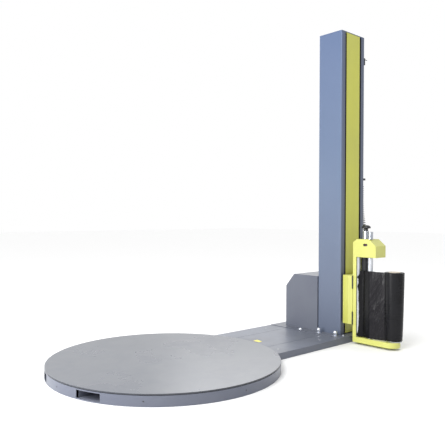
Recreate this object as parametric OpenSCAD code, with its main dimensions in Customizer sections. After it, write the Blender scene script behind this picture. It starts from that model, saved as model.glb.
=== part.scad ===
// Turntable pallet wrapper: a low powered turntable, a neck that carries the mast and
// the control cabinet, and a film carriage that climbs the mast.
// The origin is on the turntable's axis at floor level. +X runs from the turntable to
// the mast, +Y to the control cabinet's side, +Z up. The film carriage is on the -Y side.

/* [Turntable] */
// Diameter of the turning plate
table_d = 1500; // [1400:10:1640]
// Thickness of the turning plate
table_t = 8; // [6:1:10]
// Height of the turning plate's top above the floor
table_h = 70; // [68:1:84]
// Running gap between the turning plate and the ring below it
table_gap = 3; // [2:0.5:4]

/* [Base] */
// Thickness of the floor plate
floor_t = 4; // [3:0.5:6]
// Wall thickness of the base ring and of the neck's sides
ring_t = 4; // [3:0.5:6]
// Width of the inward lip on the base ring's top
lip_w = 14; // [8:1:20]
// Clear width of each fork pocket
fork_w = 154; // [120:2:170]
// Clear height of each fork pocket
fork_h = 44; // [36:1:44]
// Distance between the middles of the two fork pockets
fork_pitch = 516; // [500:2:560]
// Wall thickness of the fork tunnels
fork_wall = 4; // [3:0.5:4]
// How far the fork tunnels reach past the turntable's axis
fork_reach = 350; // [200:10:420]

/* [Neck] */
// Width of the neck over its sides
neck_w = 730; // [640:10:780]
// Height of the neck's deck above the floor
neck_h = 49; // [48:1:52]
// Thickness of the deck covers
cover_t = 3; // [2:0.5:3]
// Width of the seam round each deck cover
seam = 3; // [1:0.5:4]
// Width of the middle deck cover
centre_cover_w = 360; // [320:10:400]
// How far the neck runs on behind the mast
neck_back = 55; // [50:5:90]
// Length of the anchor tail behind the neck
tail_l = 40; // [36:2:60]
// Diameter of the anchor holes
anchor_d = 14; // [10:1:16]
// Distance between the anchor holes
anchor_pitch = 600; // [500:10:600]

/* [Support rollers] */
// Diameter of a support roller
roller_d = 40; // [34:1:44]
// Width of a support roller
roller_w = 24; // [18:1:30]
// Distance of the support rollers' circle from the turntable's edge
roller_inset = 60; // [60:5:110]
// Diameter of a support roller's axle
axle_d = 12; // [8:1:14]

/* [Table drive] */
// Diameter of the pulley under the turntable
table_pulley_d = 300; // [260:5:310]
// Diameter of the drive motor's pulley
motor_pulley_d = 75; // [60:1:90]
// Width of the drive belt
drive_belt_w = 18; // [12:1:18]
// Thickness of the drive belt
drive_belt_t = 4; // [3:0.5:5]
// Diameter of the centre post
post_d = 40; // [30:1:50]
// Outer diameter of the centre bearing
bearing_d = 80; // [70:1:90]
// How far the drive motor stands to the cabinet's side of the axis
motor_y = 60; // [50:1:80]
// Diameter of the drive motor
motor_d = 120; // [100:2:124]

/* [Mast] */
// Distance from the turntable's axis to the mast's front
mast_x = 1494; // [1440:2:1560]
// Depth of the mast, front to back
mast_d = 311; // [305:1:340]
// Width of the mast
mast_w = 222; // [216:1:240]
// Distance of the mast's middle from the machine's middle line
mast_off = 183; // [175:1:190]
// Height of the mast's top above the floor
mast_h = 2458; // [2200:2:2600]
// Thickness of the mast's sheet
mast_t = 3; // [2:0.5:4]
// Width of the lip in front of the front slot
front_lip = 48; // [42:1:50]
// Width of the front slot
front_slot = 18; // [16:1:20]
// Width of the cover strip between the slots
strip_w = 177; // [170:1:180]
// Width of the rear slot
rear_slot = 23; // [20:1:25]
// Thickness of the plate that the mast stands on
foot_t = 6; // [5:1:10]

/* [Lift] */
// Travel of the film carriage
lift_travel = 1450; // [1200:10:1480]
// Height of the trolley's lower edge at the bottom of its travel
trolley_z = 150; // [120:5:180]
// Height of the trolley
trolley_h = 380; // [340:5:400]
// Gap between the mast's face and the trolley
trolley_gap = 19; // [12:1:24]
// Width of the trolley across its front flange
trolley_w = 89; // [80:1:100]
// Thickness of the trolley's and the carriage's sheet
sheet_t = 4; // [3:0.5:4]
// Diameter of the lift pulleys
lift_pulley_d = 76; // [66:1:86]
// Width of the lift belt
lift_belt_w = 30; // [20:1:30]
// Thickness of the lift belt
lift_belt_t = 4; // [3:0.5:5]

/* [Film carriage] */
// Depth of the carriage, front to back
car_d = 135; // [125:1:140]
// Height of the carriage's underside
car_z = 18; // [15:1:30]
// Height of the platform's tray
platform_h = 40; // [36:1:44]
// Height of the clear space between platform and head
bay_h = 619; // [600:1:660]
// Height of the head
head_h = 138; // [120:1:150]
// Length of the head, outwards from the back plate
head_l = 197; // [190:1:210]
// Width of the back plate's flanges
flange_w = 30; // [24:1:36]
// Diameter of the rubber covered brake roller
brake_roller_d = 70; // [60:1:72]
// Diameter of the entry roller
entry_roller_d = 38; // [30:1:38]
// Diameter of the exit roller
exit_roller_d = 38; // [30:1:38]
// Diameter of the rollers' axles
roller_axle_d = 12; // [10:1:14]
// Height of the housings on top of the head
cap_h = 62; // [50:1:70]
// Diameter of the tension knob
knob_d = 80; // [60:1:84]

/* [Film] */
// Outer diameter of the film roll
film_d = 146; // [110:1:150]
// Width of the film
film_h = 500; // [450:5:500]
// Bore of the film's core
core_bore = 76; // [70:1:80]
// Wall of the film's core
core_t = 5; // [4:0.5:8]
// Height of the spindle's mandrel
mandrel_h = 86; // [60:1:88]

/* [Cabinet] */
// Width of the control cabinet
cab_w = 338; // [320:2:360]
// Depth of the control cabinet
cab_d = 360; // [340:2:364]
// Height of the control cabinet's top above the floor
cab_h = 500; // [460:5:560]
// Width of the cabinet's chamfered shoulder
cab_chamfer_w = 88; // [40:2:100]
// Height of the cabinet's chamfered shoulder
cab_chamfer_h = 106; // [40:2:120]
// Wall of the cabinet and of the control box
cab_t = 2; // [1.5:0.5:3]
// Height of the control box's middle above the floor
box_z = 1230; // [1000:10:1400]

/* [Hidden] */

$fn = 96;
run = 0.05;           // radial clearance of a shaft in its bore
air = 0.3;            // least gap between pieces that move past each other
big = 4000;           // longer than anything here
paint = "#8b93a8";
lime = "#dfe172";
dark = "#33353a";
steel = "#b9bdc4";

// turntable and base
table_r = table_d / 2;
roller_circle = table_r - roller_inset;
table_z = table_h - table_t;
ring_h = table_z - table_gap;
fork_z = floor_t + fork_wall;
fork_y = fork_pitch / 2;

// support rollers: six of the eight places, leaving the belt's and the front place free
roller_angles = [45, 90, 135, 225, 270, 315];
roller_z = table_z - air - roller_d / 2;
bracket_t = 5;
bracket_w = 44;

// table drive
belt_z = floor_t + 17;
table_pulley_r = table_pulley_d / 2;
motor_pulley_r = motor_pulley_d / 2;
rim = 6;
hub_r = bearing_d / 2 + 18;

// neck and mast
neck_end = mast_x + mast_d + neck_back;
deck_start = 600;
foot_x = mast_x - 94;
foot_z = neck_h - cover_t + foot_t;
rib_bay = table_pulley_r + 12;
mast_y0 = -mast_off - mast_w / 2;
mast_y1 = -mast_off + mast_w / 2;
mast_x1 = mast_x + mast_d;
strip_x = mast_x + front_lip + front_slot;
mast_r = 8;
lip_return = 20;
cap_t = 6;
motor_x = mast_x + 146;
drive_span = norm([motor_x, motor_y]);

// trolley
trolley_x1 = mast_x1 - 15;
trolley_x0 = mast_x + 6;
trolley_y1 = mast_y0 - trolley_gap;
trolley_y0 = trolley_y1 - trolley_w;
arm_y = mast_y0 + 32;
arm_plate_t = 8;
rail_t = 6;
rail_w = 28;
shoe_h = 70;

// lift belt: its pulleys turn about lines along Y
lift_x = mast_x + mast_d / 2;
lift_y = mast_y0 + 87;
lift_r = lift_pulley_d / 2;
top_pulley_z = mast_h - 88;
bottom_pulley_z = foot_z + 76;
lift_strand = lift_x - lift_r - air - lift_belt_t / 2;
lift_shaft_d = 20;

// film carriage: its back plate lies just outside the trolley
hinge_y = trolley_y0 - 2.5;
hinge_x = trolley_x0 - 5;
hinge_h = 94;
knuckle_r = 5;
hinge_pin_d = 5;
leaf_t = 2;
leaf_w = 22;
hinge_zs = [trolley_z + 4, trolley_z + trolley_h - hinge_h - 4];
knuckles = 5;
knuckle_h = (hinge_h - (knuckles - 1) * air) / knuckles;
car_x0 = trolley_x0;
car_x1 = car_x0 + car_d;
car_y = hinge_y - 0.5;
back_y = car_y - sheet_t;
platform_z = car_z + platform_h;
head_z = platform_z + bay_h;
head_top = head_z + head_h;
head_corner = 30;
head_back_z = head_top - 22;
head_wall = 3;
photo_y = car_y - 109;
photo_z = head_top - 43;
entry_at = [car_x0 + 32, car_y - 25];
brake_at = [car_x0 + 67, car_y - 73];
exit_at = [car_x0 + 30, car_y - 137];
film_at = [car_x0 + 80, car_y - 311];
platform_end = 288;
cap_d = 44;
exit_cap_d = 36;
knob_h = 46;
stem_d = 10;
spindle_d = 20;
spindle_z = platform_z + air;
flange_h = 6;
core_z = spindle_z + flange_h + air;
film_z = core_z + 6;
web_t = 1;

// control cabinet and control box
cab_x = mast_x - 6;
cab_y0 = mast_y1 + 2;
cab_y1 = cab_y0 + cab_w;
box_size = [75, 140, 300];
box_y = mast_y1 - 20 - box_size[1];
button_d = 22;
button_x = mast_x1 + box_size[0];
start_z = box_z + 80;
stop_z = box_z + 20;
estop_z = box_z - 75;
controls_y = box_y + box_size[1] / 2;
switch_at = [cab_x + cab_d, cab_y1 - 90, cab_h - 170];
switch_d = 10;
gland_y = cab_y1 - 50;
gland_z = foot_z + 60;

// spiral cable: outer shape of the curled cable as it hangs behind the mast
cable_d = 30;
cable_route = [
    [1836, -258, 1290], [1836, -258, 1230], [1836, -258, 1170], [1836, -258, 1110],
    [1836, -260, 1050], [1835, -268, 990], [1832, -281, 930], [1826, -297, 870],
    [1817, -313, 810], [1805, -328, 750], [1790, -341, 690], [1775, -351, 630],
    [1764, -357, 600], [1760, -359, 570], [1760, -359, 544]
];
gland_at = cable_route[len(cable_route) - 1];
anchor_at = cable_route[0];

// ---------- helpers ----------

module ring_of(outer_d, inner_d, h) {
    difference() {
        cylinder(d = outer_d, h = h);
        translate([0, 0, -1]) cylinder(d = inner_d, h = h + 2);
    }
}

// Rectangle with its low corner at the origin and round corners.
module round_rect(x, y, r) {
    translate([r, 0]) square([x - 2 * r, y]);
    translate([0, r]) square([x, y - 2 * r]);
    for (cx = [r, x - r]) for (cy = [r, y - r]) translate([cx, cy]) circle(r = r);
}

// Turns what was drawn flat, with height along Z, so that it runs along X.
module along_x() { rotate([90, 0, 90]) children(); }

// Turns what was drawn upright, so that it runs along +Y.
module along_y() { rotate([-90, 0, 0]) children(); }

module hex_head(across, h) { rotate(30) cylinder(r = across / sqrt(3), h = h, $fn = 6); }

// Outline of an open belt over two pulleys: radius ra at the origin, rb at distance c.
function belt_line(ra, rb, c, steps = 40) =
    let (lean = acos((ra - rb) / c))
    concat(
        [for (i = [0:steps]) let (a = lean + (360 - 2 * lean) * i / steps) [ra * cos(a), ra * sin(a)]],
        [for (i = [0:steps]) let (a = -lean + 2 * lean * i / steps) [c + rb * cos(a), rb * sin(a)]]
    );

module belt_loop(ra, rb, c, t, w) {
    linear_extrude(w) difference() {
        polygon(belt_line(ra + air + t, rb + air + t, c));
        polygon(belt_line(ra + air, rb + air, c));
    }
}

// Pulley with a flange on each side of its belt, standing on the XY plane.
module flanged_pulley(r, w, bore) {
    side = 2;
    rotate_extrude() polygon([
        [bore / 2, 0], [r + rim, 0], [r + rim, side], [r, side],
        [r, side + w + 1], [r + rim, side + w + 1], [r + rim, 2 * side + w + 1],
        [bore / 2, 2 * side + w + 1]
    ]);
}

// Round tube swept along a list of points, closed at both ends.
function unit(v) = v / norm(v);
function heading(path, i) =
    unit(path[min(i + 1, len(path) - 1)] - path[max(i - 1, 0)]);
function around(path, i, r, sides) =
    let (t = heading(path, i), u = unit(cross(t, [0, 1, 0])), v = cross(t, u))
    [for (k = [0:sides - 1]) path[i] + r * (cos(360 * k / sides) * u + sin(360 * k / sides) * v)];

module swept_tube(path, d, sides = 10) {
    n = len(path);
    points = [for (i = [0:n - 1]) each around(path, i, d / 2, sides)];
    walls = [for (i = [0:n - 2]) for (k = [0:sides - 1])
        let (a = i * sides + k, b = i * sides + (k + 1) % sides)
        [a, b, b + sides, a + sides]];
    first = [for (k = [0:sides - 1]) sides - 1 - k];
    last = [for (k = [0:sides - 1]) (n - 1) * sides + k];
    polyhedron(points, concat([first], walls, [last]));
}

// ---------- base ----------

module base_plate() {
    color(paint) difference() {
        union() {
            cylinder(r = table_r - ring_t, h = floor_t);
            translate([0, -neck_w / 2 + ring_t, 0])
                cube([neck_end + tail_l, neck_w - 2 * ring_t, floor_t]);
        }
        for (s = [-1, 1]) translate([neck_end + tail_l / 2, s * anchor_pitch / 2, -1])
            cylinder(d = anchor_d, h = floor_t + 2);
    }
}

// Rolled wall with an inward lip, open at the neck and at the fork pockets.
module base_ring() {
    hole_d = 9;
    color(paint) difference() {
        union() {
            ring_of(table_d, table_d - 2 * ring_t, ring_h);
            translate([0, 0, ring_h - ring_t])
                ring_of(table_d, table_d - 2 * (ring_t + lip_w), ring_t);
        }
        translate([0, -neck_w / 2, -1]) cube([table_r + 1, neck_w, ring_h + 2]);
        for (s = [-1, 1]) translate([-table_r - 1, s * fork_y - fork_w / 2, fork_z])
            cube([table_r, fork_w, fork_h]);
        for (a = [45:45:315]) rotate(a) translate([table_r - 10, 0, ring_h / 2])
            rotate([0, 90, 0]) cylinder(d = hole_d, h = 20);
    }
}

module fork_tunnels() {
    outer_w = fork_w + 2 * fork_wall;
    outer_h = fork_h + 2 * fork_wall;
    color(paint) for (s = [-1, 1]) intersection() {
        translate([-table_r, s * fork_y - outer_w / 2, floor_t]) difference() {
            cube([table_r + fork_reach, outer_w, outer_h]);
            translate([-1, fork_wall, fork_wall]) cube([big, fork_w, fork_h]);
        }
        cylinder(r = table_r - ring_t - lip_w, h = big);
    }
}

// Side walls, rear wall and the ribs that carry the deck.
module neck_frame() {
    wall_h = neck_h - cover_t;
    inner = neck_w / 2 - ring_t;
    wall_x = sqrt(pow(table_r - ring_t, 2) - pow(inner, 2));
    color(paint) union() {
        for (s = [-1, 1]) {
            translate([wall_x, s > 0 ? inner : -neck_w / 2, 0])
                cube([neck_end - wall_x, ring_t, wall_h]);
            for (x = [deck_start + 160, deck_start + 480, foot_x + 2])
                translate([x, s > 0 ? rib_bay : -inner, floor_t])
                    cube([ring_t, inner - rib_bay, wall_h - floor_t]);
        }
        translate([neck_end - ring_t, -inner, floor_t])
            cube([ring_t, 2 * inner, wall_h - floor_t]);
    }
}

// Three deck plates: one in the middle and one on each side.
module neck_covers() {
    length = foot_x - deck_start - seam;
    side_w = (neck_w - centre_cover_w) / 2 - seam;
    color(paint) translate([deck_start, 0, neck_h - cover_t]) {
        translate([0, -centre_cover_w / 2, 0]) cube([length, centre_cover_w, cover_t]);
        for (s = [-1, 1]) translate([0, s > 0 ? centre_cover_w / 2 + seam : -neck_w / 2, 0])
            cube([length, side_w, cover_t]);
    }
}

module cover_screws() {
    screw_y = (neck_w + centre_cover_w) / 4 + 10;
    color(steel) for (x = [deck_start + 180, foot_x - 156]) for (s = [-1, 1])
        translate([x, s * screw_y, neck_h]) cylinder(d1 = 13, d2 = 10, h = 2.5, $fn = 32);
}

module centre_post() {
    color(steel) translate([0, 0, floor_t]) {
        cylinder(r = 70, h = 6);
        cylinder(d = post_d, h = table_z - floor_t - 6);
        cylinder(d = post_d + 14, h = 12);
    }
}

module centre_bearing() {
    color(steel) translate([0, 0, floor_t + 12])
        ring_of(bearing_d, post_d + 2 * run, 26);
}

// A bracket and its axle for each support roller, in the first roller's place.
module roller_bracket() {
    ear = bracket_t;
    inner = roller_w / 2 + 1;
    reach = sqrt(pow(table_r - ring_t, 2) - pow(bracket_w / 2, 2)) - roller_circle;
    translate([roller_circle, 0, 0]) {
        translate([-inner - ear, -bracket_w / 2, floor_t])
            cube([inner + ear + reach, bracket_w, ear]);
        translate([reach - ear, -bracket_w / 2, floor_t])
            cube([ear, bracket_w, ring_h / 2 + 4]);
        difference() {
            for (x = [-inner - ear, inner]) translate([x, -bracket_w / 2 + 6, floor_t])
                cube([ear, bracket_w - 12, roller_z - floor_t + 10]);
            translate([-50, 0, roller_z]) rotate([0, 90, 0]) cylinder(d = axle_d, h = 100);
        }
        translate([-inner - ear, 0, roller_z]) rotate([0, 90, 0])
            cylinder(d = axle_d, h = 2 * (inner + ear));
    }
}

module roller_brackets() {
    color(steel) for (a = roller_angles) rotate(a) roller_bracket();
}

module support_roller(i) {
    color("#e8e6dc") rotate(roller_angles[i])
        translate([roller_circle - roller_w / 2, 0, roller_z]) rotate([0, 90, 0])
            ring_of(roller_d, axle_d + 2 * run, roller_w);
}
module support_roller_1() { support_roller(0); }
module support_roller_2() { support_roller(1); }
module support_roller_3() { support_roller(2); }
module support_roller_4() { support_roller(3); }
module support_roller_5() { support_roller(4); }
module support_roller_6() { support_roller(5); }

// ---------- turntable and its drive ----------

module turntable_plate() {
    bevel = 1;
    color(paint) rotate_extrude($fn = 180) polygon([
        [0, table_z], [table_r - bevel, table_z], [table_r, table_z + bevel],
        [table_r, table_h - bevel], [table_r - bevel, table_h], [0, table_h]
    ]);
}

module table_pulley() {
    top = belt_z + drive_belt_w + 3;
    color(steel) difference() {
        union() {
            translate([0, 0, belt_z - 2]) flanged_pulley(table_pulley_r, drive_belt_w, bearing_d);
            translate([0, 0, top]) cylinder(r = hub_r, h = table_z - top);
            translate([0, 0, table_z - 8]) cylinder(r = hub_r + 50, h = 8);
        }
        translate([0, 0, -1]) cylinder(d = bearing_d + 2 * run, h = floor_t + 12 + 26 + 1 + air);
        translate([0, 0, 1]) cylinder(d = bearing_d - 10, h = table_z);
    }
}

module drive_belt() {
    color(dark) rotate(atan2(motor_y, motor_x)) translate([0, 0, belt_z + 0.5])
        belt_loop(table_pulley_r, motor_pulley_r, drive_span, drive_belt_t, drive_belt_w);
}

module motor_pulley() {
    color(steel) translate([motor_x, motor_y, 0]) {
        translate([0, 0, belt_z - 2]) flanged_pulley(motor_pulley_r, drive_belt_w, 20);
        translate([0, 0, belt_z - 2]) cylinder(d = 20, h = 80);
    }
}

module drive_motor() {
    shaft_bore = 20 + 2 * run;
    color("#5f6d86") translate([motor_x, motor_y, foot_z]) {
        difference() {
            union() {
                translate([-65, -65, 0]) cube([130, 130, 12]);
                cylinder(r = 58, h = 100);
            }
            translate([0, 0, -1]) cylinder(d = shaft_bore, h = 80);
        }
        translate([0, 0, 100]) cylinder(d = motor_d, h = 180);
        translate([0, 0, 280]) cylinder(d = motor_d - 8, h = 30);
        translate([motor_d / 2 - 10, -35, 150]) cube([50, 70, 70]);
    }
}

// ---------- mast ----------

module mast_foot() {
    color(paint) difference() {
        translate([foot_x, -neck_w / 2, foot_z - foot_t])
            cube([neck_end - foot_x, neck_w, foot_t]);
        translate([motor_x, motor_y, 0]) cylinder(d = 50, h = big);
    }
}

module dome_nut() {
    dome_r = 13.5;
    dome_h = 12;
    cylinder(d = 44, h = 3);
    translate([0, 0, 2]) hex_head(30, 16);
    translate([0, 0, 10]) rotate_extrude() polygon(concat(
        [[0, 0], [dome_r, 0]], [for (a = [0:15:90]) [dome_r * cos(a), dome_h + dome_r * sin(a)]]));
}

module foot_bolts() {
    color(steel) translate([0, 0, foot_z]) {
        for (x = [mast_x - 47, mast_x1 + 26]) for (y = [mast_y0 + 14, mast_y1 - 48])
            translate([x, y, 0]) dome_nut();
        translate([mast_x - 54, 65, 0]) {
            cylinder(d = 46, h = 3);
            cylinder(d = 26, h = 8);
        }
        translate([mast_x - 9, mast_y0 - 36, 0]) {
            cylinder(d = 20, h = 2);
            translate([0, 0, 1]) hex_head(14, 9);
        }
    }
}

// Folded sheet: open on the trolley's side, where two lips turn inwards.
module mast_outline() {
    open_x = front_lip;
    open_w = front_slot + strip_w + rear_slot;
    difference() {
        round_rect(mast_d, mast_w, mast_r);
        translate([mast_t, mast_t]) round_rect(mast_d - 2 * mast_t, mast_w - 2 * mast_t, mast_r - mast_t);
        translate([open_x, -1]) square([open_w, mast_t + 2]);
    }
    for (x = [open_x - mast_t, open_x + open_w]) translate([x, mast_t]) square([mast_t, lip_return]);
}

module mast_shell() {
    color(paint) translate([mast_x, mast_y0, foot_z])
        linear_extrude(mast_h - cap_t - foot_z) mast_outline();
}

module mast_cap() {
    color(paint) translate([mast_x, mast_y0, mast_h - cap_t]) {
        linear_extrude(cap_t) round_rect(mast_d, mast_w, mast_r);
        translate([mast_t + mast_r, lip_return + mast_t + 1, -18])
            cube([mast_d - 2 * (mast_t + mast_r), mast_w - lip_return - mast_t - mast_r - 2, 19]);
    }
}

// Strip between the slots, with folded sides and a cross bar at each end.
module mast_strip() {
    fold = 24;
    bottom = foot_z + 8;
    top = mast_h - cap_t - 1;
    bar_x = mast_x + mast_t;
    color(lime) {
        translate([strip_x, mast_y0, bottom]) {
            cube([strip_w, mast_t, top - bottom]);
            for (x = [0, strip_w - mast_t]) translate([x, 0, 0]) cube([mast_t, fold, top - bottom]);
        }
        for (z = [bottom + 10, top - 60]) translate([bar_x, mast_y0 + fold, z])
            cube([mast_d - 2 * mast_t, 4, 30]);
    }
}

// The rails run a little past the trolley's highest place.
module guide_rails() {
    bottom = foot_z + 4;
    top = trolley_z + trolley_h + lift_travel + 60;
    color(steel) for (x = [mast_x + mast_t, mast_x1 - mast_t - rail_t])
        translate([x, arm_y + arm_plate_t, bottom]) cube([rail_t, rail_w, top - bottom]);
}

// ---------- lift drive ----------

module lift_motor() {
    box_y0 = lift_y + lift_belt_w / 2 + 6;
    box_y1 = mast_y1 - mast_t - 5;
    box_d = box_y1 - box_y0;
    color("#5f6d86") translate([lift_x, 0, top_pulley_z]) {
        difference() {
            translate([-50, box_y0, -55]) cube([100, box_d, 110]);
            translate([0, box_y0 - 1, 0]) along_y() cylinder(d = lift_shaft_d + 2 * run, h = 61);
        }
        translate([-90, box_y1, -75]) cube([180, 5, 125]);
        translate([0, (box_y0 + box_y1) / 2, -250]) cylinder(d = min(box_d - 2, 104), h = 195);
    }
}

module lift_pulley() {
    width = lift_belt_w + 5;
    translate([0, -width / 2, 0]) along_y() flanged_pulley(lift_r, lift_belt_w, axle_d + 2 * run);
}

module top_pulley() {
    color(steel) translate([lift_x, lift_y, top_pulley_z]) {
        lift_pulley();
        translate([0, -lift_belt_w / 2 - 2.5, 0]) along_y() cylinder(d = lift_shaft_d, h = lift_belt_w + 60);
    }
}

module bottom_pulley() {
    color(steel) translate([lift_x, lift_y, bottom_pulley_z]) lift_pulley();
}

module pulley_bracket() {
    inner = lift_belt_w / 2 + 4;
    ear = 5;
    color(steel) translate([lift_x, lift_y, foot_z]) {
        translate([-40, -inner - ear, 0]) cube([80, 2 * (inner + ear), 20]);
        for (y = [-inner - ear, inner]) translate([-25, y, 20]) cube([50, ear, 80]);
        translate([0, -inner, bottom_pulley_z - foot_z]) along_y() cylinder(d = axle_d, h = 2 * inner);
    }
}

module lift_belt() {
    color(dark) translate([lift_x, lift_y + lift_belt_w / 2, bottom_pulley_z]) rotate([90, -90, 0])
        belt_loop(lift_r, lift_r, top_pulley_z - bottom_pulley_z, lift_belt_t, lift_belt_w);
}

// ---------- trolley ----------

// Yellow box outside the mast, open towards it, with the cable's gland on its top.
module trolley_bracket() {
    length = trolley_x1 - trolley_x0;
    color(lime) difference() {
        translate([trolley_x0, trolley_y0, trolley_z]) difference() {
            cube([length, trolley_w, trolley_h]);
            translate([sheet_t, sheet_t, sheet_t])
                cube([length - 2 * sheet_t, trolley_w, trolley_h - 2 * sheet_t]);
        }
        translate([gland_at[0], gland_at[1], trolley_z + sheet_t]) cylinder(d = 12, h = big);
    }
    color(dark) translate([gland_at[0], gland_at[1], trolley_z + trolley_h - 1])
        ring_of(24, 12, gland_at[2] - trolley_z - trolley_h + 1);
}

// Arms through the slots, the plate inside the mast and the clamp on the belt.
module trolley_frame() {
    front_arm = mast_x + front_lip + 3;
    rear_arm = strip_x + strip_w + 4;
    inset = mast_t + rail_t + 6;
    plate_z = trolley_z + 20;
    plate_h = trolley_h - 40;
    grip = 12;
    color(dark) {
        for (arm = [[front_arm, front_slot - 6], [rear_arm, rear_slot - 8]])
            translate([arm[0], trolley_y0 + sheet_t, trolley_z + 40])
                cube([arm[1], arm_y - trolley_y0 - sheet_t, trolley_h - 80]);
        translate([mast_x + inset, arm_y, plate_z])
            cube([mast_d - 2 * inset, arm_plate_t, plate_h]);
        for (x = [lift_strand - lift_belt_t / 2 - air - grip, lift_strand + lift_belt_t / 2 + air])
            translate([x, arm_y + arm_plate_t, trolley_z + trolley_h / 2 - 25])
                cube([grip, lift_y + lift_belt_w / 2 - arm_y - arm_plate_t, 50]);
    }
}

module guide_shoes() {
    depth = 26;
    color("#e8e6dc") for (z = [trolley_z + 24, trolley_z + trolley_h - 24 - shoe_h])
        for (x = [mast_x + mast_t + rail_t + air, mast_x1 - mast_t - rail_t - air - depth])
            translate([x, arm_y + arm_plate_t, z]) cube([depth, rail_w - 4, shoe_h]);
}

// One leaf of both hinges. side is 1 for the trolley's leaf and -1 for the carriage's.
module hinge_leaf(side, first) {
    clear = knuckle_r + air;
    for (z0 = hinge_zs) translate([hinge_x, hinge_y, z0]) {
        difference() {
            union() {
                translate([5 - leaf_t, side > 0 ? clear : -clear - leaf_w, 0])
                    cube([leaf_t, leaf_w, hinge_h]);
                for (k = [first:2:knuckles - 1]) translate([0, 0, k * (knuckle_h + air)]) {
                    cylinder(r = knuckle_r, h = knuckle_h);
                    translate([5 - leaf_t, side > 0 ? 0 : -clear, 0]) cube([leaf_t, clear, knuckle_h]);
                }
            }
            translate([0, 0, -1]) cylinder(d = hinge_pin_d + 2 * run, h = hinge_h + 2);
        }
    }
}

module hinge_fixed_leaves() {
    color(dark) {
        hinge_leaf(1, 0);
        for (z0 = hinge_zs) translate([hinge_x, hinge_y, z0 - 1.5]) {
            cylinder(d = hinge_pin_d, h = hinge_h + 3);
            for (z = [-1.5, hinge_h + 3]) translate([0, 0, z]) cylinder(r = knuckle_r - 0.5, h = 1.5);
        }
    }
}

module hinge_swing_leaves() { color(dark) hinge_leaf(-1, 1); }

module spiral_cable() { color(dark) swept_tube(cable_route, cable_d, 10); }

// ---------- film carriage ----------

module carriage_back() {
    color(lime) {
        translate([car_x0, back_y, car_z]) cube([car_d, sheet_t, head_back_z - car_z]);
        for (x = [car_x0, car_x1 - sheet_t]) translate([x, back_y - flange_w + sheet_t, platform_z])
            cube([sheet_t, flange_w - sheet_t, bay_h]);
    }
}

// Side view of the head, set in by t all round.
function head_outline(t) =
    let (y0 = back_y, y1 = back_y - head_l, cy = 60, cz = 50)
    [[y0, head_z + t], [y1 + t, head_z + t], [y1 + t, head_top - cz - t / 2],
     [y1 + cy + t / 2, head_top - t], [y0 - head_corner, head_top - t], [y0, head_back_z - t]];

module carriage_head() {
    slot_l = 38;
    slot_h = 20;
    color(lime) difference() {
        translate([car_x0, 0, 0]) along_x() linear_extrude(car_d) polygon(head_outline(0));
        translate([car_x0 + head_wall, 0, 0]) along_x()
            linear_extrude(car_d - 2 * head_wall) polygon(head_outline(head_wall));
        translate([car_x0 + head_wall, back_y - 1, head_z + head_wall])
            cube([car_d - 2 * head_wall, 2, head_back_z - head_z - 2 * head_wall]);
        for (at = [entry_at, brake_at, exit_at]) translate([at[0], at[1], head_z - 1])
            cylinder(d = roller_axle_d, h = head_wall + 2);
        for (s = [-1, 1]) translate([car_x0 - 1, photo_y + s * (slot_l - slot_h) / 2, photo_z])
            rotate([0, 90, 0]) cylinder(d = slot_h, h = head_wall + 2);
        translate([car_x0 - 1, photo_y - (slot_l - slot_h) / 2, photo_z - slot_h / 2])
            cube([head_wall + 2, slot_l - slot_h, slot_h]);
    }
}

module photocell() {
    color(dark) translate([car_x0 + head_wall + 2, photo_y, photo_z]) {
        translate([0, -20, -14]) cube([42, 40, 28]);
        translate([42, -8, -8]) rotate([0, 90, 0]) cylinder(d = 10, h = 14);
    }
}

module carriage_platform() {
    boss_z = car_z + 12;
    color(lime) difference() {
        union() {
            difference() {
                translate([car_x0, back_y, car_z]) linear_extrude(platform_h) platform_plan(0);
                translate([car_x0, back_y, car_z - 1])
                    linear_extrude(platform_h - sheet_t + 1) platform_plan(head_wall);
            }
            translate([film_at[0], film_at[1], boss_z]) cylinder(r = 25, h = platform_z - boss_z);
        }
        translate([film_at[0], film_at[1], 0]) cylinder(d = spindle_d + 2 * run, h = big);
        for (at = [entry_at, brake_at, exit_at]) translate([at[0], at[1], 0])
            cylinder(d = roller_axle_d, h = big);
    }
}

// Plan of the platform, with a round outer end, set in by t.
module platform_plan(t) {
    end_r = car_d / 2;
    translate([t, -platform_end]) square([car_d - 2 * t, platform_end]);
    translate([end_r, -platform_end]) circle(r = end_r - t);
}

module roller_axles() {
    color(steel) for (at = [entry_at, brake_at, exit_at])
        translate([at[0], at[1], platform_z - sheet_t - 6])
            cylinder(d = roller_axle_d, h = bay_h + sheet_t + head_wall + 12);
}

module film_roller(at, d, tint) {
    color(tint) translate([at[0], at[1], platform_z + 4])
        ring_of(d, roller_axle_d + 2 * run, bay_h - 8);
}
module entry_roller() { film_roller(entry_at, entry_roller_d, "#d9dcdf"); }
module brake_roller() { film_roller(brake_at, brake_roller_d, "#2b2c2e"); }
module exit_roller() { film_roller(exit_at, exit_roller_d, "#c4c7cc"); }

// Housings on the head: the roller brake and the cap over the exit roller's bearing.
module brake_housing() {
    color(steel) difference() {
        union() {
            translate([brake_at[0], brake_at[1], head_top]) {
                cylinder(d = cap_d + 8, h = 5);
                cylinder(d = cap_d, h = cap_h);
            }
            translate([exit_at[0], exit_at[1], head_top]) cylinder(d = exit_cap_d, h = cap_h - 4);
        }
        translate([brake_at[0], brake_at[1], head_top + 20]) cylinder(d = stem_d + 2 * run, h = cap_h);
    }
}

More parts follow.
